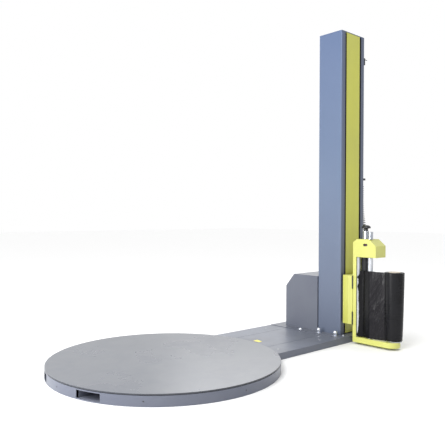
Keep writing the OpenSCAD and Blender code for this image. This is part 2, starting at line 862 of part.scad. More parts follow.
module tension_knob() {
    color(dark) translate([brake_at[0], brake_at[1], head_top + cap_h - 30]) {
        cylinder(d = stem_d, h = 32);
        translate([0, 0, 30 + air]) {
            cylinder(d1 = 30, d2 = 40, h = 24);
            translate([0, 0, 24]) rotate_extrude() polygon([
                [0, 0], [20, 0], [knob_d / 2 - 4, -4], [knob_d / 2, 0], [knob_d / 2 - 3, 10],
                [knob_d / 4, 20], [0, knob_h - 24]
            ]);
        }
    }
}

// Film drawn off the roll, round the exit roller and over the brake roller.
function web_line() =
    let (skin = web_t / 2 + air)
    [[film_at[0] - film_d / 2 - skin, film_at[1]],
     [exit_at[0] - exit_roller_d / 2 - skin, exit_at[1] - 4],
     [exit_at[0] - exit_roller_d / 2 - skin, exit_at[1] + 4],
     [brake_at[0] - brake_roller_d / 2 - skin, brake_at[1] - 6],
     [brake_at[0] - brake_roller_d / 2 - skin, brake_at[1] + 8],
     [entry_at[0] - entry_roller_d / 2 - 2, entry_at[1] - 8]];

// Sideways step at point i of a line that keeps a sheet's thickness round the bends.
function mitre(line, i) =
    let (last = len(line) - 1,
         a = unit(line[max(i, 1)] - line[max(i, 1) - 1]),
         b = unit(line[min(i + 1, last)] - line[min(i, last - 1)]),
         m = unit([-(a + b)[1], (a + b)[0]]))
    m / (m * [-a[1], a[0]]);

module film_web() {
    line = web_line();
    last = len(line) - 1;
    color("#26272b") translate([0, 0, film_z]) linear_extrude(film_h) polygon(concat(
        [for (i = [0:last]) line[i] + mitre(line, i) * web_t / 2],
        [for (i = [last:-1:0]) line[i] - mitre(line, i) * web_t / 2]
    ));
}

module spindle() {
    mandrel_d = core_bore - 0.2;
    color(steel) translate([film_at[0], film_at[1], 0]) {
        translate([0, 0, car_z + 14]) cylinder(d = spindle_d, h = spindle_z - car_z - 14);
        translate([0, 0, spindle_z]) cylinder(d = 110, h = flange_h);
        translate([0, 0, spindle_z + flange_h]) rotate_extrude() polygon([
            [0, 0], [mandrel_d / 2, 0], [mandrel_d / 2, mandrel_h - 14], [mandrel_d / 2 - 10, mandrel_h],
            [0, mandrel_h]
        ]);
    }
}

module film_core() {
    color("#d9cdb8") translate([film_at[0], film_at[1], core_z])
        ring_of(core_bore + 2 * core_t, core_bore, film_h + 12);
}

module film_roll() {
    color("#2a2b30") translate([film_at[0], film_at[1], film_z])
        ring_of(film_d, core_bore + 2 * core_t, film_h);
}

// ---------- cabinet and controls ----------

function cabinet_outline(t) =
    [[cab_y0 + t, foot_z + (t > 0 ? t : 0)], [cab_y1 - t, foot_z + (t > 0 ? t : 0)],
     [cab_y1 - t, cab_h - cab_chamfer_h - t / 2], [cab_y1 - cab_chamfer_w - t / 2, cab_h - t],
     [cab_y0 + t, cab_h - t]];

module cabinet_shell() {
    color(paint) difference() {
        translate([cab_x, 0, 0]) along_x() linear_extrude(cab_d - cab_t) polygon(cabinet_outline(0));
        translate([cab_x + cab_t, 0, 0]) along_x() linear_extrude(cab_d) polygon(cabinet_outline(cab_t));
        translate([motor_x - 66, motor_y - 66, foot_z - 1]) cube([132, 132, 10]);
    }
}

module cabinet_door() {
    door_x = cab_x + cab_d - cab_t;
    color(paint) difference() {
        union() {
            translate([door_x, 0, 0]) along_x() linear_extrude(cab_t) polygon(cabinet_outline(0));
            translate([door_x + cab_t, switch_at[1] - 32, switch_at[2] - 32]) cube([3, 64, 64]);
        }
        translate([door_x - 1, switch_at[1], switch_at[2]]) rotate([0, 90, 0])
            cylinder(d = switch_d + 2 * run, h = 20);
        translate([door_x - 1, gland_y, gland_z]) rotate([0, 90, 0]) cylinder(d = 20, h = 20);
    }
}

module mains_gland() {
    color(dark) translate([cab_x + cab_d - cab_t - 10, gland_y, gland_z]) rotate([0, 90, 0]) difference() {
        union() {
            cylinder(d = 20, h = 34);
            translate([0, 0, 10 + cab_t]) hex_head(26, 8);
            translate([0, 0, 16 + cab_t]) cylinder(d = 22, h = 16);
        }
        translate([0, 0, -1]) cylinder(d = 11, h = 60);
    }
}

module main_switch() {
    color("#b02a20") translate(switch_at) rotate([0, 90, 0]) {
        translate([0, 0, -12]) cylinder(d = switch_d, h = 16);
        translate([0, 0, 3 + air]) cylinder(d = 48, h = 8);
        translate([-22, -6, 11]) cube([44, 12, 16]);
    }
}

// Operator's box on the mast's back, with its button plate as a separate lid.
module control_box() {
    lid = 4;
    color(paint) difference() {
        translate([mast_x1, box_y, box_z - box_size[2] / 2])
            cube([box_size[0] - lid, box_size[1], box_size[2]]);
        translate([mast_x1 + cab_t, box_y + cab_t, box_z - box_size[2] / 2 + cab_t])
            cube([box_size[0], box_size[1] - 2 * cab_t, box_size[2] - 2 * cab_t]);
    }
    color("#d5d8dc") difference() {
        translate([button_x - lid, box_y, box_z - box_size[2] / 2])
            cube([lid, box_size[1], box_size[2]]);
        for (z = [start_z, stop_z, estop_z]) translate([button_x - 20, controls_y, z])
            rotate([0, 90, 0]) cylinder(d = button_d + 2 * run, h = 40);
    }
}

module push_button(z, tint) {
    color(tint) translate([button_x - 24, controls_y, z]) rotate([0, 90, 0]) {
        cylinder(d = button_d, h = 30);
        translate([0, 0, 30]) cylinder(d1 = button_d, d2 = button_d - 3, h = 1.5);
    }
}
module start_button() { push_button(start_z, "#2f8a3c"); }
module stop_button() { push_button(stop_z, "#2c2d30"); }

module emergency_stop() {
    color("#c22a20") translate([button_x - 30, controls_y, estop_z]) rotate([0, 90, 0]) {
        cylinder(d = button_d, h = 46);
        translate([0, 0, 42]) cylinder(d1 = 34, d2 = 40, h = 6);
        translate([0, 0, 48]) cylinder(d1 = 40, d2 = 26, h = 6);
    }
}

// Hook near the mast's top and the clip that holds the spiral cable's upper end.
module cable_brackets() {
    hook_z = mast_h - 219;
    color(dark) {
        translate([mast_x1, mast_y0 + 2, hook_z]) {
            cube([14, 26, 56]);
            translate([14, 10, 48]) rotate([0, 90, 0]) cylinder(d1 = 9, d2 = 4, h = 42, $fn = 32);
        }
        translate([mast_x1, anchor_at[1] - 20, anchor_at[2]]) cube([anchor_at[0] - mast_x1 + 18, 40, 16]);
        translate([mast_x1, anchor_at[1] - 20, anchor_at[2] + 16]) cube([5, 40, 24]);
    }
}

base_plate();
base_ring();
fork_tunnels();
neck_frame();
neck_covers();
cover_screws();
centre_post();
centre_bearing();
roller_brackets();
drive_motor();
drive_belt();
mast_foot();
foot_bolts();
mast_shell();
mast_cap();
mast_strip();
guide_rails();
lift_motor();
lift_belt();
pulley_bracket();
cabinet_shell();
cabinet_door();
mains_gland();
control_box();
cable_brackets();
turntable_plate();
table_pulley();
motor_pulley();
support_roller_1();
support_roller_2();
support_roller_3();
support_roller_4();
support_roller_5();
support_roller_6();
trolley_bracket();
trolley_frame();
guide_shoes();
hinge_fixed_leaves();
spiral_cable();
top_pulley();
bottom_pulley();
carriage_back();
carriage_head();
carriage_platform();
hinge_swing_leaves();
photocell();
roller_axles();
brake_housing();
film_web();
entry_roller();
brake_roller();
exit_roller();
spindle();
film_core();
film_roll();
tension_knob();
main_switch();
start_button();
stop_button();
emergency_stop();
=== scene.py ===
"""Looks of a turntable pallet wrapper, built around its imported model.

Every length is in metres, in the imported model's frame: the origin is on the
turntable's axis at floor level, +X runs from the turntable to the mast, +Y to
the control cabinet's side and +Z up. The film carriage is on the -Y side.
"""

from __future__ import annotations

import logging
import math
from dataclasses import dataclass, replace
from enum import Enum
from typing import Any, Callable, Iterable, Sequence

import bmesh
import bpy
from mathutils import Matrix, Vector, noise

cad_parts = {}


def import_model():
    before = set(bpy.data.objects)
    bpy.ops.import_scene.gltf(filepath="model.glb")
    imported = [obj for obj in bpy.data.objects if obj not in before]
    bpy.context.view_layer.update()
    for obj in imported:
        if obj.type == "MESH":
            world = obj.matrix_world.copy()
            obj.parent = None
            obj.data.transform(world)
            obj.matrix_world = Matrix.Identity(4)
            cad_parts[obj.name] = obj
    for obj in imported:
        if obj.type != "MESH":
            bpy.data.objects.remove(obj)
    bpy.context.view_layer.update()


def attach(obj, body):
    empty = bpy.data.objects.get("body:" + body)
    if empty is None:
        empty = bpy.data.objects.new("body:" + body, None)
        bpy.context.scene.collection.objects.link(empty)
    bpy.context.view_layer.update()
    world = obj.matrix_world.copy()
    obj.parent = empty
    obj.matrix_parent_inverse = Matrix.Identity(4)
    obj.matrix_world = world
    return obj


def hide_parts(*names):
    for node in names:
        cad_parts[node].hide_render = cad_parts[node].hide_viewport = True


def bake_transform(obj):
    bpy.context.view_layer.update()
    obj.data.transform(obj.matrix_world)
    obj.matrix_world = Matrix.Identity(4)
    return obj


LOG = logging.getLogger("pallet_wrapper")

Colour = tuple[float, float, float]
Point = tuple[float, float, float]
Spot = tuple[float, float]


def tone(red: int, green: int, blue: int) -> Colour:
    """Gives the linear colour of a display colour.

    Args:
        red: Red from 0 to 255.
        green: Green from 0 to 255.
        blue: Blue from 0 to 255.

    Returns:
        The colour as Blender's shaders want it.
    """
    shares = [part / 255 for part in (red, green, blue)]
    return tuple(
        s / 12.92 if s <= 0.04045 else ((s + 0.055) / 1.055) ** 2.4 for s in shares
    )


def smooth(share: float) -> float:
    """Eases a share between 0 and 1."""
    share = min(max(share, 0.0), 1.0)
    return share * share * (3 - 2 * share)


# ---------------------------------------------------------------- node work


class Bench:
    """Adds shader nodes to one node tree and wires them."""

    def __init__(self, tree: bpy.types.NodeTree) -> None:
        """Takes the tree that the nodes go into: a material's or a group's."""
        self.tree = tree

    def add(
        self, kind: str, feeds: dict[Any, Any] | None = None, **settings: Any
    ) -> bpy.types.Node:
        """Adds one node.

        Args:
            kind: The node's type name.
            feeds: Socket name or number, and the value or socket that feeds it.
            **settings: Properties of the node itself.

        Returns:
            The new node.
        """
        node = self.tree.nodes.new(kind)
        for name, value in settings.items():
            setattr(node, name, value)
        for name, value in (feeds or {}).items():
            self.feed(node.inputs[name], value)
        return node

    def feed(self, socket: bpy.types.NodeSocket, value: Any) -> None:
        """Links a socket to another, or sets its own value.

        Args:
            socket: The input socket.
            value: An output socket, a number, or a colour or vector.
        """
        if isinstance(value, bpy.types.NodeSocket):
            self.tree.links.new(value, socket)
        elif socket.type == "RGBA" and len(value) == 3:
            socket.default_value = (*value, 1.0)
        else:
            socket.default_value = value

    def blend(self, share: Any, first: Any, second: Any) -> bpy.types.NodeSocket:
        """Mixes two colours.

        Args:
            share: How much of the second colour shows.
            first: The colour at share 0.
            second: The colour at share 1.

        Returns:
            The mixed colour's socket.
        """
        node = self.add("ShaderNodeMix", data_type="RGBA")
        self.feed(node.inputs[0], share)
        self.feed(node.inputs[6], first)
        self.feed(node.inputs[7], second)
        return node.outputs[2]

    def sum(self, operation: str, first: Any, second: Any) -> bpy.types.NodeSocket:
        """Does one sum on two numbers and gives its socket."""
        node = self.add("ShaderNodeMath", {0: first, 1: second}, operation=operation)
        return node.outputs[0]

    def span(
        self, value: Any, low: Any, high: Any, start: Any = 0.0, end: Any = 1.0
    ) -> bpy.types.NodeSocket:
        """Maps a number from one range onto another, without going past its ends.

        Args:
            value: The number.
            low: Where the first range starts.
            high: Where the first range ends.
            start: What low becomes.
            end: What high becomes.

        Returns:
            The mapped number's socket.
        """
        node = self.add(
            "ShaderNodeMapRange",
            {
                "Value": value,
                "From Min": low,
                "From Max": high,
                "To Min": start,
                "To Max": end,
            },
            clamp=True,
        )
        return node.outputs["Result"]


class Effect(Enum):
    """The surface effects that several finishes share."""

    PATCHES = "Broad patches"
    SCUFFS = "Scuffs"
    GRAIN = "Fine grain"
    STREAKS = "Streaks"
    DUST = "Settled dust"


class EffectShelf:
    """Builds each shared effect once, as a node group."""

    def __init__(self) -> None:
        """Starts with no group built."""
        self.groups: dict[Effect, bpy.types.NodeTree] = {}

    def get(self, effect: Effect) -> bpy.types.NodeTree:
        """Gives an effect's node group, and builds it the first time.

        Args:
            effect: The effect.

        Returns:
            Its node group, with one output named Mask.
        """
        if effect not in self.groups:
            tree = bpy.data.node_groups.new(effect.value, "ShaderNodeTree")
            tree.interface.new_socket(
                name="Vector", in_out="INPUT", socket_type="NodeSocketVector"
            )
            for name in ("Scale", "Amount"):
                tree.interface.new_socket(
                    name=name, in_out="INPUT", socket_type="NodeSocketFloat"
                )
            tree.interface.new_socket(
                name="Mask", in_out="OUTPUT", socket_type="NodeSocketFloat"
            )
            bench = Bench(tree)
            given = bench.add("NodeGroupInput").outputs
            result = {
                Effect.PATCHES: self._patches,
                Effect.SCUFFS: self._scuffs,
                Effect.GRAIN: self._grain,
                Effect.STREAKS: self._streaks,
                Effect.DUST: self._dust,
            }[effect](bench, given)
            bench.add("NodeGroupOutput", {"Mask": result})
            self.groups[effect] = tree
        return self.groups[effect]

    @staticmethod
    def _patches(bench: Bench, given: Any) -> bpy.types.NodeSocket:
        """Slow change from place to place, as light handling leaves on paint.

        Args:
            bench: The group's bench.
            given: The group's own inputs.

        Returns:
            The mask's socket.
        """
        cloud = bench.add(
            "ShaderNodeTexNoise",
            {
                "Vector": given["Vector"],
                "Scale": given["Scale"],
                "Detail": 3.0,
                "Distortion": 0.6,
            },
        )
        share = bench.span(cloud.outputs[0], 0.34, 0.66)
        return bench.sum("MULTIPLY", share, given["Amount"])

    @staticmethod
    def _scuffs(bench: Bench, given: Any) -> bpy.types.NodeSocket:
        """Small rubbed marks, gathered in a few places.

        Args:
            bench: The group's bench.
            given: The group's own inputs.

        Returns:
            The mask's socket.
        """
        where = bench.add(
            "ShaderNodeTexNoise",
            {"Vector": given["Vector"], "Scale": given["Scale"], "Detail": 2.0},
        )
        fine = bench.add(
            "ShaderNodeTexNoise",
            {
                "Vector": given["Vector"],
                "Scale": bench.sum("MULTIPLY", given["Scale"], 14.0),
                "Detail": 6.0,
                "Roughness": 0.7,
                "Distortion": 1.5,
            },
        )
        place = bench.span(where.outputs[0], 0.5, 0.68)
        mark = bench.span(fine.outputs[0], 0.55, 0.68)
        both = bench.sum("MULTIPLY", place, mark)
        return bench.sum("MULTIPLY", both, given["Amount"])

    @staticmethod
    def _grain(bench: Bench, given: Any) -> bpy.types.NodeSocket:
        """Even fine relief, such as orange peel or a moulded texture.

        Args:
            bench: The group's bench.
            given: The group's own inputs.

        Returns:
            The mask's socket.
        """
        coarse = bench.add(
            "ShaderNodeTexNoise",
            {"Vector": given["Vector"], "Scale": given["Scale"], "Detail": 2.0},
        )
        cells = bench.add(
            "ShaderNodeTexVoronoi",
            {
                "Vector": given["Vector"],
                "Scale": bench.sum("MULTIPLY", given["Scale"], 0.8),
            },
            feature="SMOOTH_F1",
        )
        both = bench.sum("ADD", coarse.outputs[0], cells.outputs[0])
        return bench.sum("MULTIPLY", both, given["Amount"])

    @staticmethod
    def _streaks(bench: Bench, given: Any) -> bpy.types.NodeSocket:
        """Fine lines, drawn out by the Mapping node that feeds the vector.

        Args:
            bench: The group's bench.
            given: The group's own inputs.

        Returns:
            The mask's socket.
        """
        lines = bench.add(
            "ShaderNodeTexNoise",
            {
                "Vector": given["Vector"],
                "Scale": given["Scale"],
                "Detail": 5.0,
                "Roughness": 0.65,
            },
        )
        share = bench.span(lines.outputs[0], 0.3, 0.7)
        return bench.sum("MULTIPLY", share, given["Amount"])

    @staticmethod
    def _dust(bench: Bench, given: Any) -> bpy.types.NodeSocket:
        """Dust that lies on what faces up, thinner where it was wiped.

        Args:
            bench: The group's bench.
            given: The group's own inputs.

        Returns:
            The mask's socket.
        """
        normal = bench.add("ShaderNodeNewGeometry").outputs["Normal"]
        height = bench.add("ShaderNodeSeparateXYZ", {0: normal}).outputs["Z"]
        up = bench.span(height, 0.5, 0.95)
        cloud = bench.add(
            "ShaderNodeTexNoise",
            {
                "Vector": given["Vector"],
                "Scale": given["Scale"],
                "Detail": 5.0,
                "Roughness": 0.62,
                "Distortion": 0.8,
            },
        )
        thick = bench.span(cloud.outputs[0], 0.35, 0.75)
        both = bench.sum("MULTIPLY", up, thick)
        return bench.sum("MULTIPLY", both, given["Amount"])


SHELF = EffectShelf()


class Lay(Enum):
    """The way a finish's streaks run, as a stretch of the pattern's vector."""

    NONE = (1.0, 1.0, 1.0)
    ALONG_Z = (1.0, 1.0, 0.02)
    AROUND_Z = (0.05, 0.05, 1.0)
    CROSSWISE = (0.08, 0.08, 1.0)


@dataclass(frozen=True)
class Finish:
    """A surface finish: its colours, gloss, grain and wear."""

    name: str
    colour: Colour
    patch_colour: Colour
    roughness: float
    roughness_swing: float = 0.08
    metallic: float = 0.0
    patch_scale: float = 2.2
    patch_amount: float = 1.0
    worn_colour: Colour = (0.5, 0.5, 0.5)
    worn_amount: float = 0.3
    worn_scale: float = 6.0
    grain_scale: float = 700.0
    grain_depth: float = 0.00004
    streak_lay: Lay = Lay.NONE
    streak_scale: float = 300.0
    streak_amount: float = 0.0
    streak_colour: Colour = (0.5, 0.5, 0.5)
    dust_amount: float = 0.0
    dust_scale: float = 9.0
    dust_colour: Colour = tone(196, 194, 188)
    coat: float = 0.0
    coat_roughness: float = 0.12
    specular: float = 0.5
    scuff_roughness: float = 0.2
    dust_roughness: float = 0.3
    streak_depth: float = 0.8
    scuff_depth: float = 1.5

    def material(self) -> bpy.types.Material:
        """Gives the finish's material, and builds it the first time."""
        return bpy.data.materials.get(self.name) or self._build()

    def _build(self) -> bpy.types.Material:
        """Builds the material from the shared effects.

        Returns:
            The new material.
        """
        material = bpy.data.materials.new(self.name)
        material.use_nodes = True
        tree = material.node_tree
        tree.nodes.clear()
        bench = Bench(tree)
        place = bench.add("ShaderNodeTexCoord").outputs["Object"]
        stretched = bench.add(
            "ShaderNodeMapping", {"Vector": place, "Scale": self.streak_lay.value}
        ).outputs[0]
        patches = self._mask(
            bench, Effect.PATCHES, place, self.patch_scale, self.patch_amount
        )
        scuffs = self._mask(
            bench, Effect.SCUFFS, place, self.worn_scale, self.worn_amount
        )
        grain = self._mask(bench, Effect.GRAIN, place, self.grain_scale, 1.0)
        streaks = self._mask(
            bench, Effect.STREAKS, stretched, self.streak_scale, self.streak_amount
        )
        dust = self._mask(
            bench, Effect.DUST, place, self.dust_scale, self.dust_amount
        )
        colour = bench.blend(patches, self.colour, self.patch_colour)
        colour = bench.blend(streaks, colour, self.streak_colour)
        colour = bench.blend(scuffs, colour, self.worn_colour)
        colour = bench.blend(dust, colour, self.dust_colour)
        colour = self._over(bench, place, colour)
        rough = bench.sum("ADD", patches, streaks)
        rough = bench.span(
            rough,
            0.0,
            1.2,
            self.roughness - self.roughness_swing,
            self.roughness + self.roughness_swing,
        )
        for mask, rise in ((scuffs, self.scuff_roughness), (dust, self.dust_roughness)):
            rough = bench.sum("ADD", rough, bench.sum("MULTIPLY", mask, rise))
        lines = bench.sum("MULTIPLY", streaks, self.streak_depth)
        dents = bench.sum("MULTIPLY", scuffs, self.scuff_depth)
        height = bench.sum("SUBTRACT", bench.sum("ADD", grain, lines), dents)
        bump = bench.add(
            "ShaderNodeBump",
            {"Height": height, "Strength": 1.0, "Distance": self.grain_depth},
        )
        shader = bench.add(
            "ShaderNodeBsdfPrincipled",
            {
                "Base Color": colour,
                "Roughness": rough,
                "Metallic": self.metallic,
                "Coat Weight": self.coat,
                "Coat Roughness": self.coat_roughness,
                "Specular IOR Level": self.specular,
                "Normal": bump.outputs[0],
            },
        )
        bench.add("ShaderNodeOutputMaterial", {"Surface": shader.outputs[0]})
        return material

    @staticmethod
    def _mask(
        bench: Bench, effect: Effect, vector: Any, scale: float, amount: float
    ) -> bpy.types.NodeSocket:
        """Places one shared effect in the material.

        Args:
            bench: The material's bench.
            effect: The effect to place.
            vector: The pattern's coordinates.
            scale: The size of the pattern, larger for finer.
            amount: The strength of the mask.

        Returns:
            The mask's socket.
        """
        node = bench.add("ShaderNodeGroup", node_tree=SHELF.get(effect))
        for name, value in (("Vector", vector), ("Scale", scale), ("Amount", amount)):
            bench.feed(node.inputs[name], value)
        return node.outputs["Mask"]

    def _over(
        self, bench: Bench, place: bpy.types.NodeSocket, colour: bpy.types.NodeSocket
    ) -> bpy.types.NodeSocket:
        """Lays a finish's own pattern over the colour; a plain finish has none."""
        return colour


@dataclass(frozen=True)
class SpiralCard(Finish):
    """Wound card: a tube of paper whose edges run round it as a slow spiral."""

    centre: Point = (0.0, 0.0, 0.0)
    turn: float = 0.1
    seam_colour: Colour = tone(120, 98, 74)

    def _over(
        self, bench: Bench, place: bpy.types.NodeSocket, colour: bpy.types.NodeSocket
    ) -> bpy.types.NodeSocket:
        """Draws the spiral seam of the card.

        Args:
            bench: The material's bench.
            place: The surface's coordinates.
            colour: The colour so far.

        Returns:
            The colour with the seam in it.
        """
        offset = tuple(-part for part in self.centre)
        local = bench.add("ShaderNodeMapping", {"Vector": place, "Location": offset})
        parts = bench.add("ShaderNodeSeparateXYZ", {0: local.outputs[0]}).outputs
        angle = bench.sum("ARCTAN2", parts["Y"], parts["X"])
        turns = bench.sum("DIVIDE", angle, 2 * math.pi)
        climb = bench.sum("DIVIDE", parts["Z"], self.turn)
        phase = bench.sum("FRACT", bench.sum("ADD", turns, climb), 0.0)
        seam = bench.span(phase, 0.0, 0.02, 0.6, 0.0)
        return bench.blend(seam, colour, self.seam_colour)


@dataclass(frozen=True)
class MastPaintWithShade(Finish):
    """Paint on the mast: tint drifts with height; painted shade darkens its slotted -Y face.
    """

    foot_colour: Colour = (0.5, 0.5, 0.5)
    top_colour: Colour = (0.5, 0.5, 0.5)
    drift: float = 0.9
    middle: float = 1.3
    reach: float = 1.2
    # Painted shade on the -Y face: where it starts along X, how fast it ramps in, how strong
    # it is and its colour.
    shade_from: float = 1.492
    shade_fade: float = 0.03
    shade_amount: float = 0.55
    shade_colour: Colour = (0.05, 0.05, 0.07)

    def _over(
        self, bench: Bench, place: bpy.types.NodeSocket, colour: bpy.types.NodeSocket
    ) -> bpy.types.NodeSocket:
        """Tints the paint towards its foot and its top, and paints shade on the slotted -Y
        face.

        Args:
            bench: The material's bench.
            place: The surface's coordinates.
            colour: The colour so far.

        Returns:
            The tinted colour.
        """
        parts = bench.add("ShaderNodeSeparateXYZ", {0: place}).outputs
        height = parts["Z"]
        # Painted shade: faces that look towards -Y darken, ramping in along X from near the
        # front corner.
        normal = bench.add("ShaderNodeNewGeometry").outputs["Normal"]
        facing = bench.add("ShaderNodeSeparateXYZ", {0: normal}).outputs["Y"]
        outward = bench.span(facing, -0.9, -0.5, self.shade_amount, 0.0)
        behind = bench.span(parts["X"], self.shade_from, self.shade_from + self.shade_fade)
        top, foot = self.middle + self.reach, self.middle - self.reach
        high = bench.span(height, self.middle, top, 0.0, self.drift)
        low = bench.span(height, foot, self.middle, self.drift, 0.0)
        colour = bench.blend(high, colour, self.top_colour)
        colour = bench.blend(low, colour, self.foot_colour)
        dark = bench.sum("MULTIPLY", outward, behind)
        return bench.blend(dark, colour, self.shade_colour)


@dataclass(frozen=True)
class ShadedEdgePlate(Finish):
    """Paint on a flat plate, with painted shade on its upright edge."""

    # The colour of the painted shade on the upright edge.
    edge_shade_colour: Colour = (0.1, 0.1, 0.1)

    def _over(
        self, bench: Bench, place: bpy.types.NodeSocket, colour: bpy.types.NodeSocket
    ) -> bpy.types.NodeSocket:
        """Paints shade on the faces that stand upright.

        Args:
            bench: The material's bench.
            place: The surface's coordinates.
            colour: The colour so far.

        Returns:
            The colour with the painted shade on the edge in it.
        """
        # Painted shade: faces that stand upright are darkened.
        normal = bench.add("ShaderNodeNewGeometry").outputs["Normal"]
        level = bench.add("ShaderNodeSeparateXYZ", {0: normal}).outputs["Z"]
        upright = bench.span(bench.sum("ABSOLUTE", level, 0.0), 0.3, 0.7, 0.85, 0.0)
        return bench.blend(upright, colour, self.edge_shade_colour)


@dataclass(frozen=True)
class DrawnFilm(Finish):
    """Stretch film, paler where one layer hangs free between roll and roller."""

    free_colour: Colour = (0.02, 0.02, 0.02)
    free_from: float = 0.0
    free_to: float = 0.0
    fade: float = 0.006

    def _over(
        self, bench: Bench, place: bpy.types.NodeSocket, colour: bpy.types.NodeSocket
    ) -> bpy.types.NodeSocket:
        """Lightens the free stretch.

        Args:
            bench: The material's bench.
            place: The surface's coordinates.
            colour: The colour so far.

        Returns:
            The colour with the free stretch in it.
        """
        across = bench.add("ShaderNodeSeparateXYZ", {0: place}).outputs["Y"]
        past = bench.span(across, self.free_from, self.free_from + self.fade)
        short = bench.span(across, self.free_to - self.fade, self.free_to, 1.0, 0.0)
        free = bench.sum("MULTIPLY", past, short)
        return bench.blend(free, colour, self.free_colour)


@dataclass(frozen=True)
class PaintedHinge(Finish):
    """A hinge painted lime, with painted shade on its knuckles round the pin."""

    pin_line: float = 0.0
    pin_reach: float = 0.0052
    # The colour of the painted shade on the knuckles.
    knuckle_shade_colour: Colour = (0.05, 0.05, 0.05)

    def _over(
        self, bench: Bench, place: bpy.types.NodeSocket, colour: bpy.types.NodeSocket
    ) -> bpy.types.NodeSocket:
        """Paints shade on the knuckles.

        Args:
            bench: The material's bench.
            place: The surface's coordinates.
            colour: The colour so far.

        Returns:
            The colour with painted shade on the knuckles in it.
        """
        across = bench.add("ShaderNodeSeparateXYZ", {0: place}).outputs["Y"]
        away = bench.sum("ABSOLUTE", bench.sum("SUBTRACT", across, self.pin_line), 0.0)
        # Painted shade on the knuckles, within pin_reach of the pin line.
        knuckle_shade = bench.span(away, self.pin_reach, self.pin_reach + 0.0004, 1.0, 0.0)
        return bench.blend(knuckle_shade, colour, self.knuckle_shade_colour)


FRAME_BLUE = Finish(
    "Frame paint",
    tone(94, 98, 111),
    tone(102, 106, 117),
    roughness=0.34,
    roughness_swing=0.06,
    worn_colour=tone(132, 136, 146),
    worn_amount=0.22,
    grain_scale=420.0,
    grain_depth=0.00003,
    dust_amount=0.06,
    specular=0.32,
)
# A lighter copy of the frame paint for the neck's deck covers; the extra lightness is painted
# light on their tops.
FRAME_BLUE_LIT = replace(FRAME_BLUE, name="Frame paint, painted light", colour=tone(110, 116, 131))
# Mast paint, with painted shade on its slotted -Y face from the class defaults.
MAST_BLUE = MastPaintWithShade(
    "Mast paint",
    tone(97, 112, 137),
    tone(103, 117, 141),
    roughness=0.36,
    roughness_swing=0.05,
    patch_scale=1.1,
    worn_colour=tone(122, 133, 152),
    worn_amount=0.15,
    grain_scale=420.0,
    grain_depth=0.00003,
    dust_amount=0.1,
    foot_colour=tone(93, 101, 119),
    top_colour=tone(84, 101, 134),
)
TABLE_GREY = ShadedEdgePlate(
    "Table paint",
    tone(100, 104, 113),
    tone(110, 113, 120),
    roughness=0.3,
    roughness_swing=0.07,
    patch_scale=1.6,
    worn_colour=tone(128, 131, 138),
    worn_amount=0.03,
    worn_scale=7.0,
    grain_scale=380.0,
    grain_depth=0.00003,
    dust_amount=0.08,
    specular=0.42,
    # Painted shade on the plate's upright edge.
    edge_shade_colour=tone(44, 46, 52),
)
LIME = Finish(
    "Lime paint",
    tone(195, 196, 103),
    tone(200, 201, 113),
    roughness=0.32,
    roughness_swing=0.05,
    patch_scale=3.0,
    worn_colour=tone(200, 200, 130),
    worn_amount=0.2,
    grain_scale=460.0,
    grain_depth=0.00003,
    dust_amount=0.05,
)
# A darker, matter copy of the lime paint for the trolley's cover plate; its darkness is
# painted shade.
LIME_PAINTED_SHADE = Finish(
    "Lime paint, matt, painted shade",
    tone(182, 184, 84),
    tone(188, 190, 94),
    roughness=0.42,
    patch_scale=3.0,
    worn_colour=tone(190, 190, 120),
    worn_amount=0.2,
    grain_scale=460.0,
    grain_depth=0.00003,
)
LIME_HINGE = PaintedHinge(
    "Lime painted hinge",
    tone(195, 196, 103),
    tone(200, 201, 113),
    roughness=0.34,
    patch_scale=12.0,
    worn_colour=tone(120, 120, 84),
    worn_amount=0.3,
    worn_scale=20.0,
    grain_scale=460.0,
    grain_depth=0.00003,
    pin_line=-0.4045,
    # Painted shade on the knuckles.
    knuckle_shade_colour=tone(38, 40, 34),
)
LIME_STRIP = Finish(
    "Lime strip",
    tone(190, 191, 66),
    tone(183, 184, 76),
    roughness=0.35,
    roughness_swing=0.06,
    worn_colour=tone(186, 188, 120),
    worn_amount=0.2,
    streak_lay=Lay.ALONG_Z,
    streak_scale=60.0,
    streak_amount=0.22,
    streak_colour=tone(196, 198, 112),
    grain_scale=460.0,
    grain_depth=0.00003,
)
ZINC = Finish(
    "Zinc plated steel",
    tone(188, 190, 194),
    tone(166, 168, 170),
    roughness=0.3,
    roughness_swing=0.1,
    metallic=1.0,
    patch_scale=40.0,
    worn_colour=tone(140, 134, 122),
    worn_amount=0.35,
    worn_scale=30.0,
    grain_scale=1600.0,
    grain_depth=0.00001,
)
GROUND_STEEL = Finish(
    "Ground steel",
    tone(176, 178, 182),
    tone(156, 158, 162),
    roughness=0.26,
    metallic=1.0,
    patch_scale=12.0,
    worn_colour=tone(130, 126, 120),
    worn_amount=0.25,
    worn_scale=16.0,
    streak_lay=Lay.AROUND_Z,
    streak_scale=900.0,
    streak_amount=0.3,
    streak_colour=tone(206, 208, 210),
    grain_scale=2400.0,
    grain_depth=0.00001,
)
CHROME = Finish(
    "Chrome",
    tone(176, 180, 188),
    tone(162, 167, 177),
    roughness=0.12,
    roughness_swing=0.04,
    metallic=1.0,
    patch_scale=30.0,
    worn_colour=tone(176, 178, 182),
    worn_amount=0.15,
    worn_scale=24.0,
    streak_lay=Lay.AROUND_Z,
    streak_scale=1200.0,
    streak_amount=0.12,
    streak_colour=tone(236, 237, 240),
    grain_scale=2600.0,
    grain_depth=0.000004,
)
NUT_CHROME = Finish(
    "Bright nuts",
    tone(222, 225, 232),
    tone(206, 210, 219),
    roughness=0.16,
    roughness_swing=0.05,
    patch_scale=40.0,
    metallic=1.0,
    worn_colour=tone(150, 153, 160),
    worn_amount=0.2,
    worn_scale=60.0,
    dust_amount=0.05,
)
